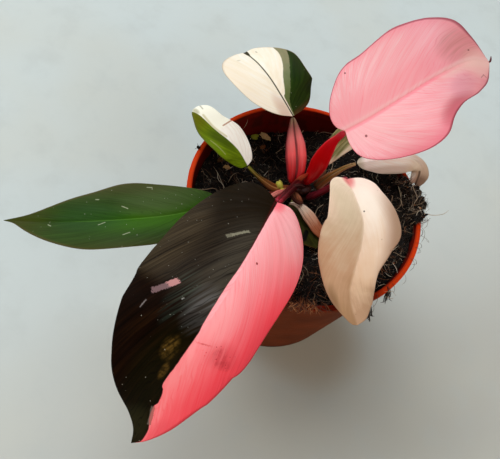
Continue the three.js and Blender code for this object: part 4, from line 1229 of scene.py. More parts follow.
# %% Make the stalks
STALKS = {
    "pink": dict(
        slot="stalk_red", path=[(-2.4, 13.6, 90.8), (-0.6, 17.8, 95.8), (0.4, 21.3, 103), (1.1, 22.8, 110),
                                (2.1, 23.7, 116), (3.9, 24.4, 121), (5, 24.4, 124.4)],
        width=[1.8, 3.7, 4.7, 4.2, 3.2, 1.9, 1.6], depth=[2.6, 2.4, 2.2, 2, 1.8, 1.5, 1.3],
        face=(0.3, 0.9, 0.4), groove=0.8,
        along=((0, "#4c0204"), (0.2, "#740103"), (0.5, "#fa0a10"), (0.85, "#e41428"), (1, "#e8506c")),
        # The lighter edge colour of this stalk is a painted highlight along its upper edges.
        edge="#d8303a", valley="#8a0408", back="#c4000a"),
    "cream_green": dict(
        slot="stalk_pink", path=[(-8.2, 11.5, 90), (-9.6, 17, 94), (-13.2, 24.3, 100), (-17.8, 31.2, 106),
                                 (-20.5, 34, 111)],
        width=[3.2, 5.0, 5.8, 5.3, 3.5, 1.2], depth=[2, 2.5, 2.8, 2.6, 2.0, 1.2], face=(0.2, -0.5, 0.85),
        groove=1.3,
        along=((0, "#c01418"), (0.25, "#e43438"), (0.45, "#ff6668"), (0.7, "#e87a7a"), (0.88, "#a0625a"),
               (1, "#8d8064")),
        edge="#8c3038", valley="#3c0608", back="#80262c"),
    "half_moon": dict(
        slot="stalk_dark_red", path=[(-4.0, 13, 89.5), (-6, 8, 96.5), (-9.8, -5.5, 105.6),
                                     (-12.8, -17.9, 114), (-13.7, -22.2, 117.4)],
        width=[1.6, 2.2, 2.1, 2.0, 2.0], depth=[1.6, 1.9, 1.9, 1.8, 1.6], face=(0, 0.4, 0.9), groove=0.5,
        along=((0, "#3a0c08"), (0.3, "#300608"), (0.7, "#42080e"), (0.92, "#74101e"), (1, "#a82238")),
        edge="#50101a", valley="#1c0203", back="#4a0410"),
    "cream_front": dict(
        slot="stalk_dark_red", path=[(1.6, 8, 88), (4.4, 5.4, 96), (8.1, 4.7, 105), (10.5, 3.8, 112.5),
                                     (12.9, 3.2, 118.1)],
        width=[2.6, 2.3, 2, 1.8, 1.6], depth=[1.9, 1.8, 1.7, 1.6, 1.4], face=(0.8, -0.5, 0.3), groove=0.5,
        along=((0, "#3c0a10"), (0.4, "#5c0c18"), (0.8, "#8a1a28"), (1, "#b8424e")),
        edge="#7c2230", valley="#25060a", back="#4a0a14"),
    "drooping": dict(
        slot="stalk_olive", path=[(3.4, 14.5, 89.5), (8.2, 20.1, 95), (14.2, 25.3, 100), (18, 26.8, 103.3)],
        width=[2.6, 2.4, 1.3, 0.9], depth=[1.6, 1.4, 1, 0.8], face=(-0.2, -0.3, 0.9), groove=0.4,
        along=((0, "#5a2a10"), (0.3, "#7c4612"), (0.7, "#8e6a2c"), (1, "#b59a6a")),
        edge="#b06a5c", valley="#4a4424", back="#6a4a36"),
    "striped": dict(
        slot="stalk_olive", path=[(2.6, 17.5, 88), (4.8, 22.5, 92), (3.7, 24.4, 97)],
        width=[2, 1.7, 1.2], depth=[1.4, 1.3, 1], face=(0.5, 0.5, 0.7), groove=0.3,
        along=((0, "#4a3a20"), (0.5, "#6d6a3e"), (1, "#8f8a5c")),
        edge="#9a7060", valley="#3a381c", back="#56502c"),
    "lime": dict(
        slot="stalk_olive", path=[(-8.4, 9, 87.5), (-16.4, 5, 88.7), (-22.5, 4.8, 91), (-28, 5, 94),
                                  (-33, 6, 96.6)],
        width=[2.2, 2.8, 2.2, 1.1, 0.9], depth=[1.6, 1.5, 1.3, 1, 0.8], face=(-0.2, -0.2, 0.95), groove=0.5,
        along=((0, "#6a2c12"), (0.25, "#84401c"), (0.6, "#75481c"), (0.85, "#6c6420"), (1, "#7c8420")),
        edge="#5a2410", valley="#b5824a", back="#4c2410"),
    "green": dict(
        slot="stalk_dark_red", path=[(-7.5, 7, 87), (-14, 0, 91), (-24, -10, 98), (-33, -21, 103.5),
                                     (-39.4, -27.8, 105.6)],
        width=[2.4, 2, 1.8, 1.6, 1.4], depth=[1.8, 1.7, 1.5, 1.4, 1.1], face=(-0.3, -0.3, 0.9), groove=0.4,
        along=((0, "#5a2018"), (0.5, "#7a2c22"), (0.85, "#6c4426"), (1, "#4c5a26")),
        edge="#8c4436", valley="#3a1410", back="#5c2a1e"),
    "low": dict(
        slot="stalk_olive", path=[(-3.6, 7, 86.5), (-5, 2.5, 88.7), (-5.6, -0.4, 89.6)],
        width=[1.8, 1.5, 1.2], depth=[1.4, 1.2, 0.9], face=(-0.3, -0.3, 0.9), groove=0.3,
        along=((0, "#5a3a20"), (1, "#6c6a38")),
        edge="#7c4a30", valley="#34301a", back="#4a3c20"),
}

for name, made in STALKS.items():
    paint = paint_stalk(name, *[made[key] for key in ("along", "edge", "valley", "back")])
    shape = [made[key] for key in ("path", "width", "depth", "face", "groove")]
    place_piece(make_skin(f"petiole_{name}", paint, *shape), made["slot"], f"stalk_{name}")

# %% Make the sheaths
SHEATHS = {
    "cataphyll_dry": dict(
        nodes=["sheath_dry"], slot="dry_sheath", bow=-0.7,
        path=[(-7.4, -5.4, 95.6), (-5, -4.6, 96), (-2, -4.8, 96), (1.5, -6.3, 95.5), (5.3, -8.8, 94.8),
              (10.3, -12.4, 93.6), (14.2, -14.6, 93)],
        width=[0.3, 1.7, 2.8, 3.6, 3.4, 3.4, 2.6], depth=[0.35, 0.4, 0.45, 0.5, 0.5, 0.5, 0.4],
        face=(0, 0, 1),
        paint=paint_dry("papery_sheath", ((0, "#f2dcc8"), (0.3, "#f0d6c0"), (0.48, "#d8a88c"),
                                          (0.75, "#ad6444"), (1, "#9c4f26")), "#6e3019")),
    "cataphyll_curl": dict(
        nodes=["sheath_curl"], slot="dry_sheath", groove=0.5,
        path=[(-3.0, 3.8, 100.0), (-5.8, 1.8, 102.6), (-8.3, -1.2, 104.2), (-8.9, -4.4, 104.6),
              (-8.0, -6.0, 103.0), (-5.9, -6.2, 100.6), (-3.4, -5.3, 98.3), (-1.4, -3.7, 97.0)],
        width=[0.7, 0.9, 1.0, 0.9, 0.8, 0.9, 1.0, 0.6], depth=[0.7, 0.8, 0.8, 0.8, 0.8, 0.8, 0.8, 0.5],
        face=(-0.2, 0.2, 1),
        paint=paint_dry("curled_sheath", ((0, "#3c120c"), (0.4, "#4a1a16"), (0.75, "#5a2a22"),
                                          (1, "#7c4a3c")), "#1c0806")),
    "cataphyll_curl_inside": dict(
        slot="dry_sheath", bow=-0.6,
        path=[(-7.0, -1.6, 100.6), (-5.3, -2.6, 99.6), (-3.2, -3.0, 98.0), (-1.5, -3.1, 96.6)],
        width=[0.9, 1.7, 1.8, 1.1], depth=[0.6, 0.8, 0.8, 0.5], face=(-0.2, -0.2, 1),
        paint=paint_dry("curl_lining", ((0, "#6c3424"), (0.4, "#c47a54"), (0.8, "#a86044"),
                                        (1, "#3c1a12")), "#3c1810")),
    "sheath_wing": dict(
        slot="stalk_red", bow=-0.5,
        path=[(-3.0, 16.6, 95.6), (-5.0, 13.0, 96.4), (-7.2, 8.0, 97.8), (-9.0, 3.6, 99.4)],
        width=[0.6, 1.5, 1.5, 0.7], depth=[0.5, 0.8, 0.8, 0.5], face=(-0.3, -0.4, 1),
        paint=paint_stalk("wing", ((0, "#b0201a"), (0.4, "#963a20"), (0.75, "#6c2614"), (1, "#400a0a")),
                          "#7c2c18", "#6c2412", "#4c1010")),
    "cataphyll_flap": dict(
        nodes=["sheath_flap"], slot="stalk_pink", bow=-0.3,
        path=[(-11.6, -4.2, 103), (-14.6, -10.8, 109), (-17.2, -18.4, 115)],
        width=[1.1, 1.4, 1.2], depth=[0.6, 0.5, 0.4], face=(0, 0.3, 1),
        paint=paint_stalk("flap", ((0, "#b04440"), (0.4, "#dc706a"), (1, "#d47c70")), "#e89a8c",
                          "#8a4a44", "#8c4a44")),
}

for name, made in SHEATHS.items():
    shape = [made[key] for key in ("paint", "path", "width", "depth", "face")]
    piece = make_skin(name, *shape, made.get("groove", 0.0), made.get("bow", 0.0))
    place_piece(piece, made["slot"], *made.get("nodes", ()))


# %% [markdown]
# ## What is turned: the pot, the stem and the bud
#
# A nursery pot is moulded in one shot: a thin tapered wall, a rim that stiffens its mouth, and a floor with
# drainage holes. Its section is drawn once and turned round the axis. Spin or a Screw modifier could do it
# too. As a tree, the same lathe also turns the short stem, with the rings that shed leaves left, and the bud.
# The holes are cut by a Boolean with eight pins that stand on a circle.

# %% The lathe
def lathe_tree():
    tree, (base, sides, holes, hole_radius, circle, paint) = new_tree(
        "lathe", ("Sides", "Int", 64), ("Holes", "Int", 0), ("Hole radius", "Float", 0.0),
        ("Hole circle", "Float", 0.0), ("Paint", "Material", None))
    count = base.then("AttributeDomainSize", output="Point Count")
    grid, share, turn = unit_grid(base, count, sides)
    index = (share * (count - 1.0)).maths("ROUND")
    on_base = base.then("SampleIndex", {"Value": base.node("GeometryNodeInputPosition"), "Index": index},
                        {"data_type": "FLOAT_VECTOR"})
    out, _, height = on_base.xyz()
    turned = wrapped(grid, vector(out * turn.maths("COSINE"), out * turn.maths("SINE"), height))

    ring = base.node("GeometryNodeMeshCircle", inputs={"Vertices": holes, "Radius": circle})
    pin = base.node("GeometryNodeMeshCylinder", inputs={
        "Vertices": 24, "Radius": hole_radius, "Depth": 12 * MM}, output="Mesh")
    pins = ring.then("InstanceOnPoints", {"Instance": pin}).then("RealizeInstances")
    cut = turned.then("MeshBoolean", {"Mesh 2": pins}, {"operation": "DIFFERENCE", "solver": "EXACT"},
                      "Mesh")
    chosen = cut.node("GeometryNodeSwitch", {"input_type": "GEOMETRY"},
                      {"Switch": holes > 2, "False": turned, "True": cut})
    return end_tree(tree, chosen, paint)


LATHE = lathe_tree()


def arc(centre, radius, start, end, steps=6):
    """Points of an arc in the section, from one angle to another in degrees."""
    angles = np.radians(np.linspace(start, end, steps + 1))
    return [(centre[0] + radius * math.cos(t), centre[1] + radius * math.sin(t)) for t in angles]


def turn_piece(name, paint, section, sides=64, sharp=50, **holes):
    base = new_line(f"{name}_section", [(r, 0.0, z) for r, z in section])
    piece = grow(name, LATHE, base, sides=sides + 1, paint=paint, **holes)
    piece.data.set_sharp_from_angle(angle=math.radians(sharp))
    return piece


# %% [markdown]
# ## The pot's plastic
#
# Terracotta-coloured polypropylene is cheap and thin. It has a satin skin with faint rings from the mould,
# scuffs, a darker red inside and a film of dust and compost there. Its light and shade are painted on too:
# the wall is dark brown as shaded plastic, the rim bright orange as lit plastic, and the front of the rim,
# the inner edge of its top and the foot, partly with soil dirt, are darkened with painted shade.

# %% Make the pot
POT_RADIUS = 60.0
POT_HEIGHT = 98.0
FOOT_RADIUS = 46.0
WALL = 1.2
POT_FLOOR = 1.6
RIM_WIDTH = 2.6
RIM_DEPTH = 3.2
RIM_ROUNDING = 0.6
FOOT_ROUNDING = 1.0
HOLES = dict(holes=8, hole_radius=4.0 * MM, hole_circle=31.0 * MM)


def wall_radius(z):
    """The outer radius of the tapered wall at a height."""
    return FOOT_RADIUS + (POT_RADIUS - RIM_WIDTH + WALL - FOOT_RADIUS) * z / POT_HEIGHT


def pot_section():
    top, under, edge = POT_HEIGHT, POT_HEIGHT - RIM_DEPTH, RIM_ROUNDING
    inside = [(wall_radius(z) - WALL, z) for z in np.linspace(top - 1.0, POT_FLOOR + 2.0, 26)]
    outside = [(wall_radius(z), z) for z in np.linspace(2.0, under - 0.8, 26)]
    lip = wall_radius(top) - WALL + 0.35
    return [(0, 0), (20, 0), (FOOT_RADIUS - 2.2, 0),
            *arc((wall_radius(0) - FOOT_ROUNDING, FOOT_ROUNDING), FOOT_ROUNDING, -90, 6),
            *outside, *arc((wall_radius(under) + 0.4, under - 0.4), 0.4, 180, 90, 4),
            (POT_RADIUS - 0.8, under), *arc((POT_RADIUS - 0.3, under + 0.3), 0.3, -90, 0, 4),
            (POT_RADIUS, under + 1.0), (POT_RADIUS, top - 1.4),
            *arc((POT_RADIUS - edge, top - edge), edge, 0, 90), (POT_RADIUS - 1.2, top), (lip + 0.4, top),
            *arc((lip, top - 0.35), 0.35, 90, 180, 4), *inside,
            *arc((wall_radius(POT_FLOOR) - WALL - 1.0, POT_FLOOR + 1.0), 1.0, 0, -90), (20, POT_FLOOR),
            (0, POT_FLOOR)]


def paint_pot():
    material, start = new_paint("pot_plastic")
    place = object_place(start)
    x, y, z = place.xyz()
    out = (x * x + y * y) ** 0.5
    height = z / MM
    cloudy = clouds(place, 45, 3)
    rings = clouds(vector(0, 0, z), 900, 2)
    scuffs = clouds(vector(x, y, z * 4), 260, 4, 0.7)
    # Painted shade: the wall's terracotta is painted dark brown, as plastic that faces away from the window.
    plastic = ramp(cloudy, (0.3, "#50200a"), (0.5, "#5a260d"), (0.7, "#682c12"))
    front = step(-y / out, 0.54, 0.72)
    within = step(wall_radius(height) - 0.6 - out / MM, -0.1, 0.1) * (1 - step(height, 97.5, 97.9))
    crumbs = specks(x / MM + z / MM, y / MM - z / MM, 2.6, 0.22, 0.45)
    film = step(clouds(place, 120, 4), 0.48, 0.66)
    foot = (1 - step(height, 0, 9)) * step(scuffs, 0.42, 0.6)
    rim_top = step(height, 97.3, 97.7)
    plastic = glaze(
        plastic,
        # Painted light and shade: the rim's outer band is bright orange as lit plastic, except at the front,
        # where it stays dark.
        (step(height, 94.6, 95) * (1 - front * 0.95), "#bf3a12"),
        # Painted light and shade: the rim top is bright orange as lit plastic, dark at the front, and darker
        # red along its inner edge, where it turns into the pot.
        (rim_top, "#c8390f"),
        (rim_top * front * 0.95, "#551508"),
        (rim_top * step(58.2 - out / MM, -0.3, 0.5) * 0.6, "#7c1c0a"),
        (step(scuffs, 0.62, 0.78) * 0.25, "#a5603f"),
        (within * 0.92, "#530a08"),
        (within * film * 0.55, "#2c1610"),
        (within * crumbs * 0.9, "#140b08"),
        # Partly soil dirt, partly painted shade: the foot darkens near the ground, and a near-black band at
        # its bottom edge is a painted contact shadow.
        (foot * 0.4, "#3c1a0e"),
        (1 - step(height, 0.6, 2.4 + scuffs * 2), "#0c0302"))
    return finish_paint(material, plastic, 0.55 + (scuffs - 0.5) * 0.3, rings * 0.5 + cloudy * 0.5,
                        0.12 * MM, specular_ior_level=0.03)


pot = turn_piece("nursery_pot", paint_pot(), pot_section(), 128, **HOLES)
place_piece(pot, "pot_plastic", "pot")

# %% [markdown]
# ## The stem and the bud
#
# The stem hardly shows between the clasping stalks: a rod with swollen rings, rooted in the mix. Its
# green-brown is painted darker, to maroon at the top, as painted shade for the shadow of the stalks round it.
# The bud is a small pointed egg of folded scales, yellow-green where it swells.

# %% Make the stem and the bud
STEM_FOOT = (-3.0, 12.0)
STEM_RADIUS = 4.6
STEM_BOTTOM, STEM_TOP = 62.0, 90.0
STEM_NODES = (66.0, 74.0, 82.0)
BUD_SCALES = (((-13.6, 7.0, 87.2), (-8, -38), 1.0), ((-12.2, 5.6, 87.0), (25, -8), 0.82),
              ((-14.2, 8.6, 87.0), (-35, -30), 0.7))    # place, tilts in degrees, size


def joined(parts):
    """One mesh from parts (points, faces)."""
    counts = np.cumsum([0] + [len(points) for points, _ in parts])
    faces = [[i + count for i in face] for count, (_, part) in zip(counts, parts) for face in part]
    return np.vstack([points for points, _ in parts]), faces


def stem_section():
    ends = 0.6 * STEM_RADIUS
    heights = np.linspace(STEM_BOTTOM + 1.0, STEM_TOP - 2.0, 70)
    swell = [STEM_RADIUS + 0.5 * sum(math.exp(-((z - node - 1.0) / 0.8) ** 2) for node in STEM_NODES)
             for z in heights]
    return [(0, STEM_BOTTOM), (ends, STEM_BOTTOM), *zip(swell, heights),
            *arc((STEM_RADIUS - 1.8, STEM_TOP - 1.8), 1.8, 0, 90), (0, STEM_TOP)]


def paint_shoot(name, low, high, streak, turns):
    """The skin of a short shoot: a colour that changes upwards, with streaks along it."""
    material, start = new_paint(name)
    place = object_place(start)
    x, y, z = place.xyz()
    share = (z / MM - low[0]) / (high[0] - low[0])
    lines = clouds(vector(x * turns, y * turns, z * 60), 1, 3)
    paint = ramp(share + (lines - 0.5) * 0.4, (0, low[1]), (1, high[1]))
    paint = glaze(paint, (step(lines, 0.52, 0.66) * 0.6, streak))
    return finish_paint(material, paint, 0.45, lines, 0.25 * MM, specular_ior_level=0.4)


# Painted shade: the stem's colours are darkened, to maroon at the top, for the shadow of the stalks round it.
stem = turn_piece("shoot", paint_shoot("stem", (82.0, "#3c2416"), (90.0, "#38120c"), "#5a3020", 900.0),
                  stem_section(), 48)
stem.data.transform(Matrix.Translation(Vector((*STEM_FOOT, 0.0)) * MM))
stem.data.update()
place_piece(stem, "stem", "stem")

bud_profile = Curve([(0, 0), (1.4, 0.4), (2.1, 1.5), (1.9, 2.9), (1.1, 4.2), (0.4, 5.0), (0, 5.3)])
bud_section = [(abs(r), z) for r, z, _ in bud_profile.at(np.linspace(0, 1, 24))]
bud_paint = paint_shoot("bud", (87.5, "#96642a"), (91.0, "#d8d254"), "#6c7c18", 1400.0)
scale = turn_piece("bud_scale", bud_paint, bud_section, 20)
scale_points = np.array([v.co for v in scale.data.vertices]) / MM
scale_faces = [list(face.vertices) for face in scale.data.polygons]
bpy.data.objects.remove(scale)
scales = []
for place, tilts, size in BUD_SCALES:
    lean = Matrix.Rotation(math.radians(tilts[1]), 3, "Y") @ Matrix.Rotation(math.radians(tilts[0]), 3, "X")
    scales.append((scale_points * size @ np.array(lean).T + np.array(place), scale_faces))
bud = new_piece("side_bud", *joined(scales))
bud.data.materials.append(bud_paint)
place_piece(bud, "bud", "bud")

# %% [markdown]
# ## The potting mix: its surface
#
# Potting mix is peat, bark and coir, nearly black when damp. It has sunk in the middle and at the back, and
# a handful lies over the rim at the right. The surface is a fine polar sheet over the CAD solid's own
# formula, with fractal relief, and its wall and bottom are closed. The clods over the rim are balls that the
# same noise makes rough. Crumbs and fibres come next, so the sheet itself needs no crumb-sized detail.

# %% Make the soil's body
SOIL_LEVEL = 92.5
MIDDLE_DISH = 8.0
BACK_HOLLOW = ((-24, 46), 10.0, 22.0)     # place, depth, spread
RIGHT_HEAP = ((56, 22), -5.0, 13.0)
# turn, distance from the axis, size, height, and how tall it is for its width
CLODS = ((13, 57.5, 3.8, 98.3, 0.62), (20, 58.5, 4.6, 98.3, 0.62), (27, 58.0, 4.4, 98.3, 0.62),
         (33, 55.5, 4.0, 98.3, 0.62), (175, 60.2, 0.9, 98.5, 0.8))
SOIL_GAP = 0.3          # between the mix and the pot, so that neither shows through the other
SOIL_BOTTOM = POT_FLOOR + SOIL_GAP


def soil_top(x, y):
    """The mix's height in millimetres, as the CAD solid has it."""
    z = SOIL_LEVEL + 0.04 * x - 0.01 * y - MIDDLE_DISH * (1 - (x * x + y * y) / POT_RADIUS ** 2)
    for at, depth, spread in (BACK_HOLLOW, RIGHT_HEAP):
        z = z - depth * np.exp(-((x - at[0]) ** 2 + (y - at[1]) ** 2) / (2 * spread ** 2))
    return z + 0.9 * np.sin(0.71 * x + 1.7 * np.sin(0.33 * y)) * np.sin(0.63 * y + 1.3 * np.sin(0.41 * x))


def rough(points, size, height):
    """Fractal noise at points in millimetres, with lumps of about `size`."""
    return np.array([noise.fractal(Vector(p) / size, 0.8, 2.1, 5) for p in points]) * height


def soil_body(rings=105, turns=250):
    ring, turn = np.meshgrid(np.arange(1, rings + 1) / rings, np.arange(turns) / turns * 2 * np.pi,
                             indexing="ij")
    reach = (wall_radius(SOIL_LEVEL) - WALL - SOIL_GAP) * ring
    x, y = (reach * np.cos(turn)).ravel(), (reach * np.sin(turn)).ravel()
    z = soil_top(x, y) + rough(np.stack([x, y, 0 * x], -1), 5.0, 0.9)
    z = np.where(ring.ravel() == 1, np.minimum(z, POT_HEIGHT - 0.5), z)
    # where the mix has sunk, the pot is narrower
    within = np.minimum(1.0, (wall_radius(z) - WALL - SOIL_GAP) / np.hypot(x, y))
    x, y = x * within, y * within
    foot = wall_radius(SOIL_BOTTOM) - WALL - 1.3
    wall = np.stack([foot * np.cos(turn[-1]), foot * np.sin(turn[-1]), 0 * turn[-1] + SOIL_BOTTOM], -1)
    points = np.vstack([np.stack([x, y, z], -1), wall, [[0, 0, float(soil_top(0.0, 0.0))]],
                        [[0, 0, SOIL_BOTTOM]]])
    here = np.arange(rings * turns).reshape(rings, turns)
    here = np.vstack([here, rings * turns + np.arange(turns)])
    after = np.roll(here, -1, axis=1)
    faces = np.stack([here[:-1], here[1:], after[1:], after[:-1]], -1).reshape(-1, 4).tolist()
    top, bottom = len(points) - 2, len(points) - 1
    faces += [(top, here[0, k], after[0, k]) for k in range(turns)]
    faces += [(bottom, after[-1, k], here[-1, k]) for k in range(turns)]
    loose = np.concatenate([np.ones((rings - 1) * turns), np.zeros(2 * turns), [1, 0]])
    return points, faces, loose


def ball(subdivisions):
    """The points and faces of a ball of radius 1."""
    mesh = bmesh.new()
    bmesh.ops.create_icosphere(mesh, subdivisions=subdivisions, radius=1.0)
    points = np.array([v.co for v in mesh.verts])
    faces = [[v.index for v in face.verts] for face in mesh.faces]
    mesh.free()
    return points, faces


def on_rim(turn, out, height):
    return [out * math.cos(math.radians(turn)), out * math.sin(math.radians(turn)), height]


def clod_body(turn, out, size, height, tall):
    """A rough ball, flattened where it lies on the rim, or drawn out where it hangs from it."""
    points, faces = ball(4)
    middle = np.array(on_rim(turn, out, height))
    rougher = 1 + rough(points * size + middle, 3.0, 0.3)
    return points * size * rougher[:, None] * [1, 1, tall] + middle, faces


def make_soil_mesh():
    points, faces, loose = soil_body()
    points, faces = joined([(points, faces), *[clod_body(*clod) for clod in CLODS]])
    loose = np.concatenate([loose, np.ones(len(points) - len(loose))])
    return new_piece("potting_mix", points, faces, {"loose": np.stack([loose] * 3, -1)})


def paint_soil():
    material, start = new_paint("soil")
    place = object_place(start)
    fine = clouds(place, 900, 4, 0.7)
    damp = clouds(place, 70, 3)
    paint = ramp(fine, (0.3, "#050403"), (0.55, "#0f0b08"), (0.75, "#1f1610"))
    paint = glaze(paint, (step(damp, 0.5, 0.7) * 0.5, "#1c130d"))
    return finish_paint(material, paint, 0.9, fine, 0.6 * MM, specular_ior_level=0.2)


soil = make_soil_mesh()
soil.data.materials.append(paint_soil())
place_piece(soil, "soil", "soil")

# %% [markdown]
# ## Crumbs and fibres
#
# What makes it potting mix is thousands of small things: crumbs, flakes of bark and coir fibres. A particle
# system would scatter them, but an export drops particles. This tree scatters a few shapes on the surface,
# with a size that is mostly small, a random turn, and a random `tone` that the paint reads. The shapes have
# few faces, because each one is there a thousand times.

# %% The tree that scatters
def random_value(start, low, high, seed, kind="FLOAT"):
    return start.node("FunctionNodeRandomValue", {"data_type": kind},
                      {"Min": low, "Max": high, "Seed": seed}, "Value")


def crumb_shapes(start):
    """Rough little balls, each bent by its own noise."""
    for variant in range(5):
        ball = start.node("GeometryNodeMeshIcoSphere", inputs={"Radius": 0.5, "Subdivisions": 2},
                          output="Mesh")
        spot = ball.node("GeometryNodeInputPosition")
        bump = clouds(spot.vectors("ADD", (variant * 7.0, 0.0, 0.0)), 1.6, 1.0)
        flat = (1.0, 0.85 - 0.08 * variant, 0.7 - 0.09 * variant)
        shape = spot.scaled(0.35 + bump * 1.3).vectors("MULTIPLY", flat)
        yield ball.then("SetPosition", {"Position": shape})


def fibre_shapes(start):
    """Bent three-sided hairs, one unit long."""
    for variant in range(8):
        line = start.node("GeometryNodeCurvePrimitiveLine", {"mode": "POINTS"}, {
            "Start": (-0.5, 0.0, 0.0), "End": (0.5, 0.0, 0.0)})
        line = line.then("ResampleCurve", {"Count": 9})
        share = line.node("GeometryNodeSplineParameter", output="Factor")
        sway = clouds(vector(share * 1.7, variant * 3.1), 1.0, 0.0) - 0.5
        rise = clouds(vector(share * 1.3, variant * 5.3, 4.0), 1.0, 0.0) - 0.5
        line = line.then("SetPosition", {"Offset": vector(0.0, sway * 0.7, rise * 0.5)})
        ring = line.node("GeometryNodeCurvePrimitiveCircle", {"mode": "RADIUS"}, {
            "Resolution": 3, "Radius": 0.016})
        taper = 1.0 - abs(share * 2.0 - 1.0) ** 3.0 * 0.75
        yield line.then("CurveToMesh", {"Profile Curve": ring, "Scale": taper, "Fill Caps": True})


def scatter_tree(name, shapes):
    tree, (base, density, smallest, largest, tilt, lift, seed, paint) = new_tree(
        name, ("Density", "Float", 1.0), ("Smallest", "Float", 1.0), ("Largest", "Float", 1.0),
        ("Tilt", "Float", 0.3), ("Lift", "Float", 0.0), ("Seed", "Int", 1), ("Paint", "Material", None))
    open_face = named(base, "loose").xyz()[0] > 0.99
    points = base.then("DistributePointsOnFaces", {"Density": density * open_face, "Seed": seed},
                       {"distribute_method": "RANDOM"}, "Points")
    turned = points.other("Rotation")
    points = points.then("SetPosition", {"Offset": points.other("Normal").scaled(lift)})
    points = store_on(points, "tone", random_value(points, (0, 0, 0), (1, 1, 1), seed + 1.0, "FLOAT_VECTOR"))
    turn = random_value(points, -math.pi, math.pi, seed + 2.0)
    lean = random_value(points, -1.0, 1.0, seed + 3.0) * tilt
    spin = random_value(points, -math.pi, math.pi, seed + 4.0)
    for euler in (vector(0.0, lean, turn), vector(spin, 0.0, 0.0)):
        more = points.node("FunctionNodeEulerToRotation", inputs={"Euler": euler})
        turned = points.node("FunctionNodeRotateRotation", {"rotation_space": "LOCAL"}, {
            "Rotation": turned, "Rotate By": more})
    size = smallest + (largest - smallest) * random_value(points, 0.0, 1.0, seed + 5.0) ** 3.0
    kinds = points.node("GeometryNodeJoinGeometry")
    for shape in shapes(points):
        tree.links.new(shape.then("GeometryToInstance").socket, kinds.socket.node.inputs[0])
    placed = points.then("InstanceOnPoints", {
        "Instance": kinds, "Pick Instance": True, "Rotation": turned, "Scale": size})
    return end_tree(tree, placed, paint)


CRUMBS = scatter_tree("scatter crumbs", crumb_shapes)
FIBRES = scatter_tree("scatter fibres", fibre_shapes)


def scatter(name, tree, ground, paint, count, smallest, largest, tilt, seed, lift=0.0, where=None):
    """Scatters about `count` shapes on the loose faces of the ground, or on those that `where` allows."""
    base = show(bpy.data.objects.new(f"{name}_ground", ground.data.copy()))
    loose = np.zeros(3 * len(base.data.vertices))
    base.data.attributes["loose"].data.foreach_get("vector", loose)
    if where is not None:
        x, y, z = np.array([v.co for v in base.data.vertices]).T / MM
        loose *= np.repeat(where(x, y, z), 3)
        base.data.attributes["loose"].data.foreach_set("vector", loose)
    loose = loose[::3] > 0.5
    area = sum(face.area for face in base.data.polygons if loose[face.vertices[0]])
    piece = grow(name, tree, base, density=count / area, smallest=smallest * MM, largest=largest * MM,
                 tilt=tilt, lift=lift * MM, seed=seed, paint=paint)
    place_piece(piece, "soil")


# %% [markdown]
# ## What the crumbs and fibres are made of
#
# Every crumb takes its own shade from its `tone`: most are black peat, some are brown bark, a few are pale.
# Coir is tan and grey-brown, and its fibres shine a little.

# %% Paint and scatter the crumbs and fibres
def paint_bits(name, shades, shine=0.8, gloss=0.25):
    material, start = new_paint(name)
    tone, second, _ = attribute(start, "tone")
    place = object_place(start)
    grain = clouds(place, 1500, 2)
    paint = ramp(tone, *shades)
    paint = glaze(paint, (step(grain, 0.45, 0.7) * 0.35, shades[0][1]))
    return finish_paint(material, paint, shine + (second - 0.5) * 0.2, grain, 0.15 * MM,
                        specular_ior_level=gloss)


CRUMB_SHADES = ((0, "#060504"), (0.6, "#120d09"), (0.85, "#23180f"), (0.95, "#3d2a1b"), (1, "#6a4c33"))
FIBRE_SHADES = ((0, "#0c0806"), (0.35, "#281a10"), (0.6, "#5c4430"), (0.78, "#9c8266"), (0.9, "#cdb99d"),
                (1, "#f4ead8"))
BROWN_SHADES = ((0, "#24120a"), (0.4, "#4a2614"), (0.7, "#7c4424"), (0.9, "#a8683c"), (1, "#d09a6c"))

crumb_paint = paint_bits("crumbs", CRUMB_SHADES)
fibre_paint = paint_bits("fibres", FIBRE_SHADES, 0.55, 0.4)
scatter("crumbs", CRUMBS, soil, crumb_paint, 1900, 0.8, 3.4, 1.2, 11)
scatter("fibres_short", FIBRES, soil, fibre_paint, 2200, 1.6, 8.0, 0.35, 21, lift=0.25)
brown_paint = paint_bits("brown_fibres", BROWN_SHADES, 0.6, 0.3)
bright_paint = paint_bits("bright_fibres", ((0, "#3a2c20"), (0.5, "#9c8a78"), (1, "#f6f0e6")))
scatter("fibres_fine", FIBRES, soil, bright_paint, 900, 0.9, 3.6, 0.5, 81, lift=0.45)
scatter("flecks", CRUMBS, soil, brown_paint, 520, 0.5, 1.5, 0.9, 61, lift=0.1)
scatter("flecks_pale", CRUMBS, soil, fibre_paint, 420, 0.3, 0.9, 0.9, 71, lift=0.2)
scatter("fibres_long", FIBRES, soil, fibre_paint, 420, 6.0, 17.0, 0.28, 31, lift=0.6)
scatter("fibres_brown", FIBRES, soil, brown_paint, 620, 2.0, 9.0, 0.5, 41, lift=0.5,
        where=lambda x, y, z: (y < 12) & (x > 22) | (y < -30))
scatter("fibres_heap", FIBRES, soil, fibre_paint, 420, 2.0, 7.0, 1.1, 51, lift=0.8,
        where=lambda x, y, z: (np.hypot(x, y) > 50) & (x > 30) & (z > 95))

# %% [markdown]
# ## Single hairs, whiskers and a tuft
#
# Some coir fibres are seen one by one: long pale hairs that stand off the heap, a few that hang over the
# rim, and a brown tuft at the front. A random scatter would not put them there, so their lines are listed
# one by one or made by a small rule, and one tree gives every line its thickness.

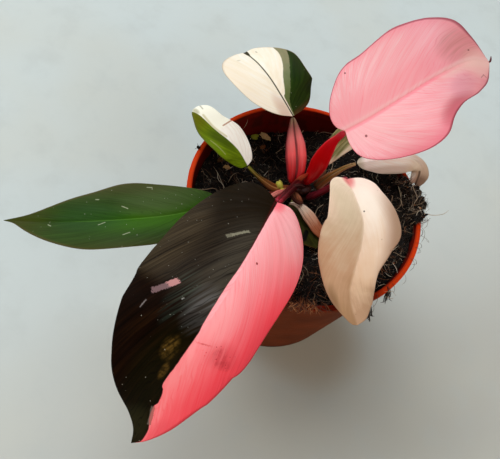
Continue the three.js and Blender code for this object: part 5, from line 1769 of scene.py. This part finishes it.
# %% The tree that gives lines a thickness
def hair_tree():
    tree, (base, sides, paint) = new_tree("hairs along lines", ("Sides", "Int", 4),
                                          ("Paint", "Material", None))
    ring = base.node("GeometryNodeCurvePrimitiveCircle", {"mode": "RADIUS"},
                     {"Resolution": sides, "Radius": 1.0})
    hair = base.then("MeshToCurve").then("CurveToMesh", {
        "Profile Curve": ring, "Fill Caps": True, "Scale": named(base, "thick").xyz()[0]})
    return end_tree(tree, hair, paint)


HAIRS = hair_tree()


def grow_hairs(name, hairs, paint, slot="soil"):
    """One piece from hairs (thickness, tone, points), all in millimetres."""
    spots, edges, thick, tones = [], [], [], []
    for thickness, tone, points in hairs:
        line = Curve(points, 12)
        share = np.linspace(0, 1, max(4, round(line.length / 1.3)))
        edges += [(len(spots) + i, len(spots) + i + 1) for i in range(len(share) - 1)]
        spots += line.at(share).tolist()
        thick += (thickness / 2 * MM * (1 - 0.75 * abs(share * 2 - 1) ** 3)).tolist()
        tones += [tone] * len(share)
    layers = {"thick": np.stack([thick] * 3, -1), "tone": np.stack([tones] * 3, -1)}
    base = new_piece(name, spots, layers=layers, edges=edges)
    place_piece(grow(name, HAIRS, base, paint=paint), slot)


# %% Hairs that are drawn one by one
RIGHT_HAIRS = (
    (0.34, 0.86, [(53.7, 13.1, 99), (59.1, 14.9, 99.5), (63.7, 15.6, 100), (68.4, 17.7, 101),
                  (71.2, 21.5, 101)]),
    (0.22, 0.7, [(59.4, 15, 99), (61.8, 12.8, 99), (62.3, 9.2, 98), (60.7, 6.9, 97.5)]),
    (0.2, 0.6, [(59.1, 7.5, 98.5), (61.8, 5.2, 98), (62, 1.8, 97.5), (61.1, -1.3, 97)]),
    (0.2, 0.6, [(59.4, 2, 98.5), (62.8, 1.9, 98), (65.2, -0.1, 98), (63, 0.7, 98)]),
    (0.22, 0.8, [(44.3, 25.1, 99.5), (46.2, 27.4, 99.8), (49.1, 26.6, 100), (51.2, 23.5, 100.3),
                 (52.2, 17.3, 100),
                (50.7, 13.4, 99.5)]),
    (0.22, 0.84, [(45.8, 24.1, 99), (46.1, 18.9, 99.4), (48.1, 13.9, 99)]),
    (0.2, 0.78, [(53.5, 5.7, 99), (54.8, 7.5, 99.7), (56.5, 10.8, 99.5)]),
    (0.24, 0.8, [(43.4, 20, 98), (45.8, 19.1, 98.8), (46.9, 15.6, 98.6), (45.3, 12.3, 98)]),
    (0.2, 0.76, [(48.9, 10.3, 99.5), (52.1, 10.5, 101), (54.9, 13, 101.3), (56.5, 16.9, 101)]),
    (0.2, 0.8, [(53.2, 16.8, 101), (56.2, 18.8, 101.6), (57.9, 22.2, 101.3), (56.9, 25.1, 100.8)]),
    (0.24, 0.95, [(49.2, -16.7, 95), (51.6, -19.4, 95.8), (53, -23.1, 96)]),
    (0.24, 0.95, [(46.9, -23.4, 94.8), (49, -25.1, 95.8), (51.3, -24.9, 96)]),
    (0.24, 0.9, [(44.7, -33.2, 95.6), (46.6, -31, 96.6), (48.9, -30.9, 97)]),
    (0.24, 0.8, [(46.8, -35, 97.6), (49.1, -35.3, 98.8), (51.5, -33.6, 98), (53.7, -35, 97)]),
    (0.22, 0.8, [(48.4, -37.3, 97.8), (50.7, -37.8, 98), (53.2, -35.8, 96)]),
    (0.22, 0.6, [(43.4, -43.5, 98), (44.6, -45.4, 97.8), (45, -47, 92), (46.9, -48.2, 89)]),
    (0.22, 0.5, [(48.6, -31.0, 98.2), (50.3, -33.6, 97.6), (50.8, -35.0, 93), (51.4, -37.4, 90.5)]),
)
LEFT_HAIRS = (
    (0.3, 0.9, [(-50.9, 5.9, 87), (-47.6, 2.7, 88), (-43.8, -1.8, 88), (-40.5, -5, 87.5)]),
    (0.26, 0.85, [(-40.3, -0.5, 86.5), (-39.4, 4.8, 87.5), (-37.1, 7.9, 87)]),
    (0.24, 0.8, [(-43.3, 31.8, 93), (-42.6, 34.2, 95), (-42.7, 35.3, 97)]),
    (0.26, 0.9, [(14.1, -38.1, 87), (16.5, -39.3, 88.2), (18.7, -41.8, 87.6)]),
    (0.26, 0.9, [(8.7, -31.1, 87), (11.4, -33.5, 88.2), (13.3, -36.7, 87.6)]),
)

HANGING = ([(41.8, -43.6, 98.3), (42.9, -46.2, 97), (45, -47, 92), (46.6, -47.8, 89)],
           [(48.4, -31.4, 98.3), (49.6, -33.6, 97.4), (50.4, -34.6, 94), (51.1, -36.8, 91)])


# %% Whiskers over the rim, spikes on the clods, and the tuft
FURTHEST_SPIKE = 64.5     # from the axis


def whiskers(draw, count, turns):
    """Fine hairs that rest on the rim and hang from its outer edge."""
    for _ in range(count):
        turn, drift = draw.uniform(*turns), draw.normal(0, 1.6)
        fall = draw.uniform(1.5, 7)
        yield (draw.uniform(0.12, 0.22), draw.uniform(0.3, 0.9), [
            on_rim(turn, 57.5, 97.6), on_rim(turn + drift * 0.5, 60.2, 98.5),
            on_rim(turn + drift, 61.2 + draw.uniform(0, 1.5), 98 - fall * 0.4),
            on_rim(turn + drift * 1.8, 60.6 + draw.uniform(0, 2), 98 - fall)])


def spikes(draw, clod, count, reach):
    """Short stiff fibres that stick out of a clod."""
    turn, out, size, height, tall = clod
    middle = np.array(on_rim(turn, out, height))
    for _ in range(count):
        way = draw.normal(size=3)
        way = way / np.linalg.norm(way) * [1, 1, tall]
        bend = draw.normal(0, 0.5, 3)
        end = middle + way * size + way * draw.uniform(0.2, 1) * reach
        if math.hypot(end[0], end[1]) < FURTHEST_SPIKE:
            yield (draw.uniform(0.16, 0.34), draw.uniform(0, 0.75) ** 1.6,
                   [middle + way * size * 0.5, middle + way * (size + 0.2) + bend * 0.3, end + bend])


def hanging_crumb(draw, path, count):
    """A dark crumb of fibres that hangs over the rim, as a bundle of strands round one path."""
    for _ in range(count):
        shift = draw.normal(0, 0.4, 3)
        start = draw.uniform(0, 0.4)
        points = Curve(path, 8).at(np.linspace(start, draw.uniform(0.6, 1), 4))
        yield (draw.uniform(0.35, 0.8), draw.uniform(0, 0.45), [*(points + shift), points[-1] + shift * 2.2])


def tuft(draw, count):
    """A brown tuft that lies over the rim at the front."""
    for _ in range(count):
        turn, drift = draw.normal(-77, 4.6), draw.normal(0, 5)
        inner, fall = draw.uniform(53, 57.5), draw.uniform(-0.6, 3.4)
        yield (draw.uniform(0.2, 0.42), draw.uniform(0.2, 1), [
            on_rim(turn, inner, 96.5 + draw.uniform(-1, 1)),
            on_rim(turn + drift * 0.5, 58, 98.4 + draw.uniform(0, 1)),
            on_rim(turn + drift, 59.6, 98.3), on_rim(turn + drift * 1.6, 60.6 + draw.uniform(0, 1),
                                                     98 - fall)])


draw = np.random.default_rng(7)
loose_hairs = [*RIGHT_HAIRS, *LEFT_HAIRS, *whiskers(draw, 16, (-42, 16))]
for clod in CLODS:
    loose_hairs += spikes(draw, clod, 34 if clod[2] > 2 else round(clod[2] * 7), 1.2 + clod[2] * 0.5)
for path in HANGING:
    loose_hairs += hanging_crumb(draw, path, 22)
grow_hairs("fibres_single", loose_hairs, fibre_paint)
grow_hairs("fibres_tuft", list(tuft(draw, 70)), brown_paint)

# %% [markdown]
# ## The drip tip of the pink leaf
#
# The leaf ends in a short dried point that bends up. It starts inside the blade, so it grows out of it.

# %% Make the drip tip
pink_leaf = bpy.data.objects["leaf_pink"]
apex = np.array(max((v.co / MM for v in pink_leaf.data.vertices),
                    key=lambda spot: spot.dot((0.75, 0.66, 0))))
tip_paint = paint_bits("drip_tip", ((0, "#2c0c12"), (1, "#7c2a38")), 0.5, 0.2)
grow_hairs("leaf_pink_tip", [(1.1, 0.5, [apex - [2.0, 1.2, -0.3], apex, apex + [0.4, 2.4, 0.4],
                                         apex + [0.1, 4.2, 0.8]])], tip_paint, "leaf_pink")
print("drip tip at", apex.round(1))

# %% [markdown]
# ## Chips of bark
#
# A few larger chips lie on the mix: pale bark, a red-brown flake and a yellow one. They are flattened rough
# balls, like the clods, and carry their own `tone`.

# %% Make the chips
CHIPS = (   # place, sizes, turn, tone
    ((-36.6, 36.2, 84.6), (2.0, 1.5, 0.8), 30, 0.0), ((-31.4, 38.8, 84.8), (3.2, 1.7, 0.9), -20, 0.9),
    ((-30.5, 32.4, 83.4), (1.6, 1.0, 0.6), 50, 0.5), ((-44.0, 8.5, 86.6), (1.7, 1.1, 0.6), 15, 0.85),
    ((-48.5, 11.5, 87.2), (2.4, 1.2, 0.6), 70, 0.4), ((46.0, -8.0, 89.5), (2.4, 1.2, 0.7), 10, 0.4),
    ((41.0, -27.0, 89.0), (2.0, 1.4, 0.6), 80, 0.5), ((20.0, -44.0, 88.6), (2.2, 1.1, 0.6), -30, 0.4))
CHIP_SHADES = ((0, "#74761e"), (0.2, "#6e5a26"), (0.4, "#4a2c18"), (0.6, "#7c3820"), (0.85, "#b08a5c"),
               (1, "#cdb690"))


def make_chips():
    parts, tones = [], []
    points, faces = ball(3)
    for place, sizes, turn, tone in CHIPS:
        spin = np.array(Matrix.Rotation(math.radians(turn), 3, "Z"))
        chip = points * sizes * (1 + rough(points * 1.5 + place, 1.0, 0.6))[:, None]
        parts.append((chip @ spin.T + place, faces))
        tones += [tone] * len(points)
    return new_piece("bark_chips", *joined(parts), {"tone": np.stack([tones] * 3, -1)}, smooth=False)


chips = make_chips()
chips.data.materials.append(paint_bits("bark_chips", CHIP_SHADES, 0.75, 0.2))
place_piece(chips, "soil")

# %% The box of all the pieces
visual_box = [list(corner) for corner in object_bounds()]
print("visual box in mm:", [[round(x / MM, 1) for x in corner] for corner in visual_box])
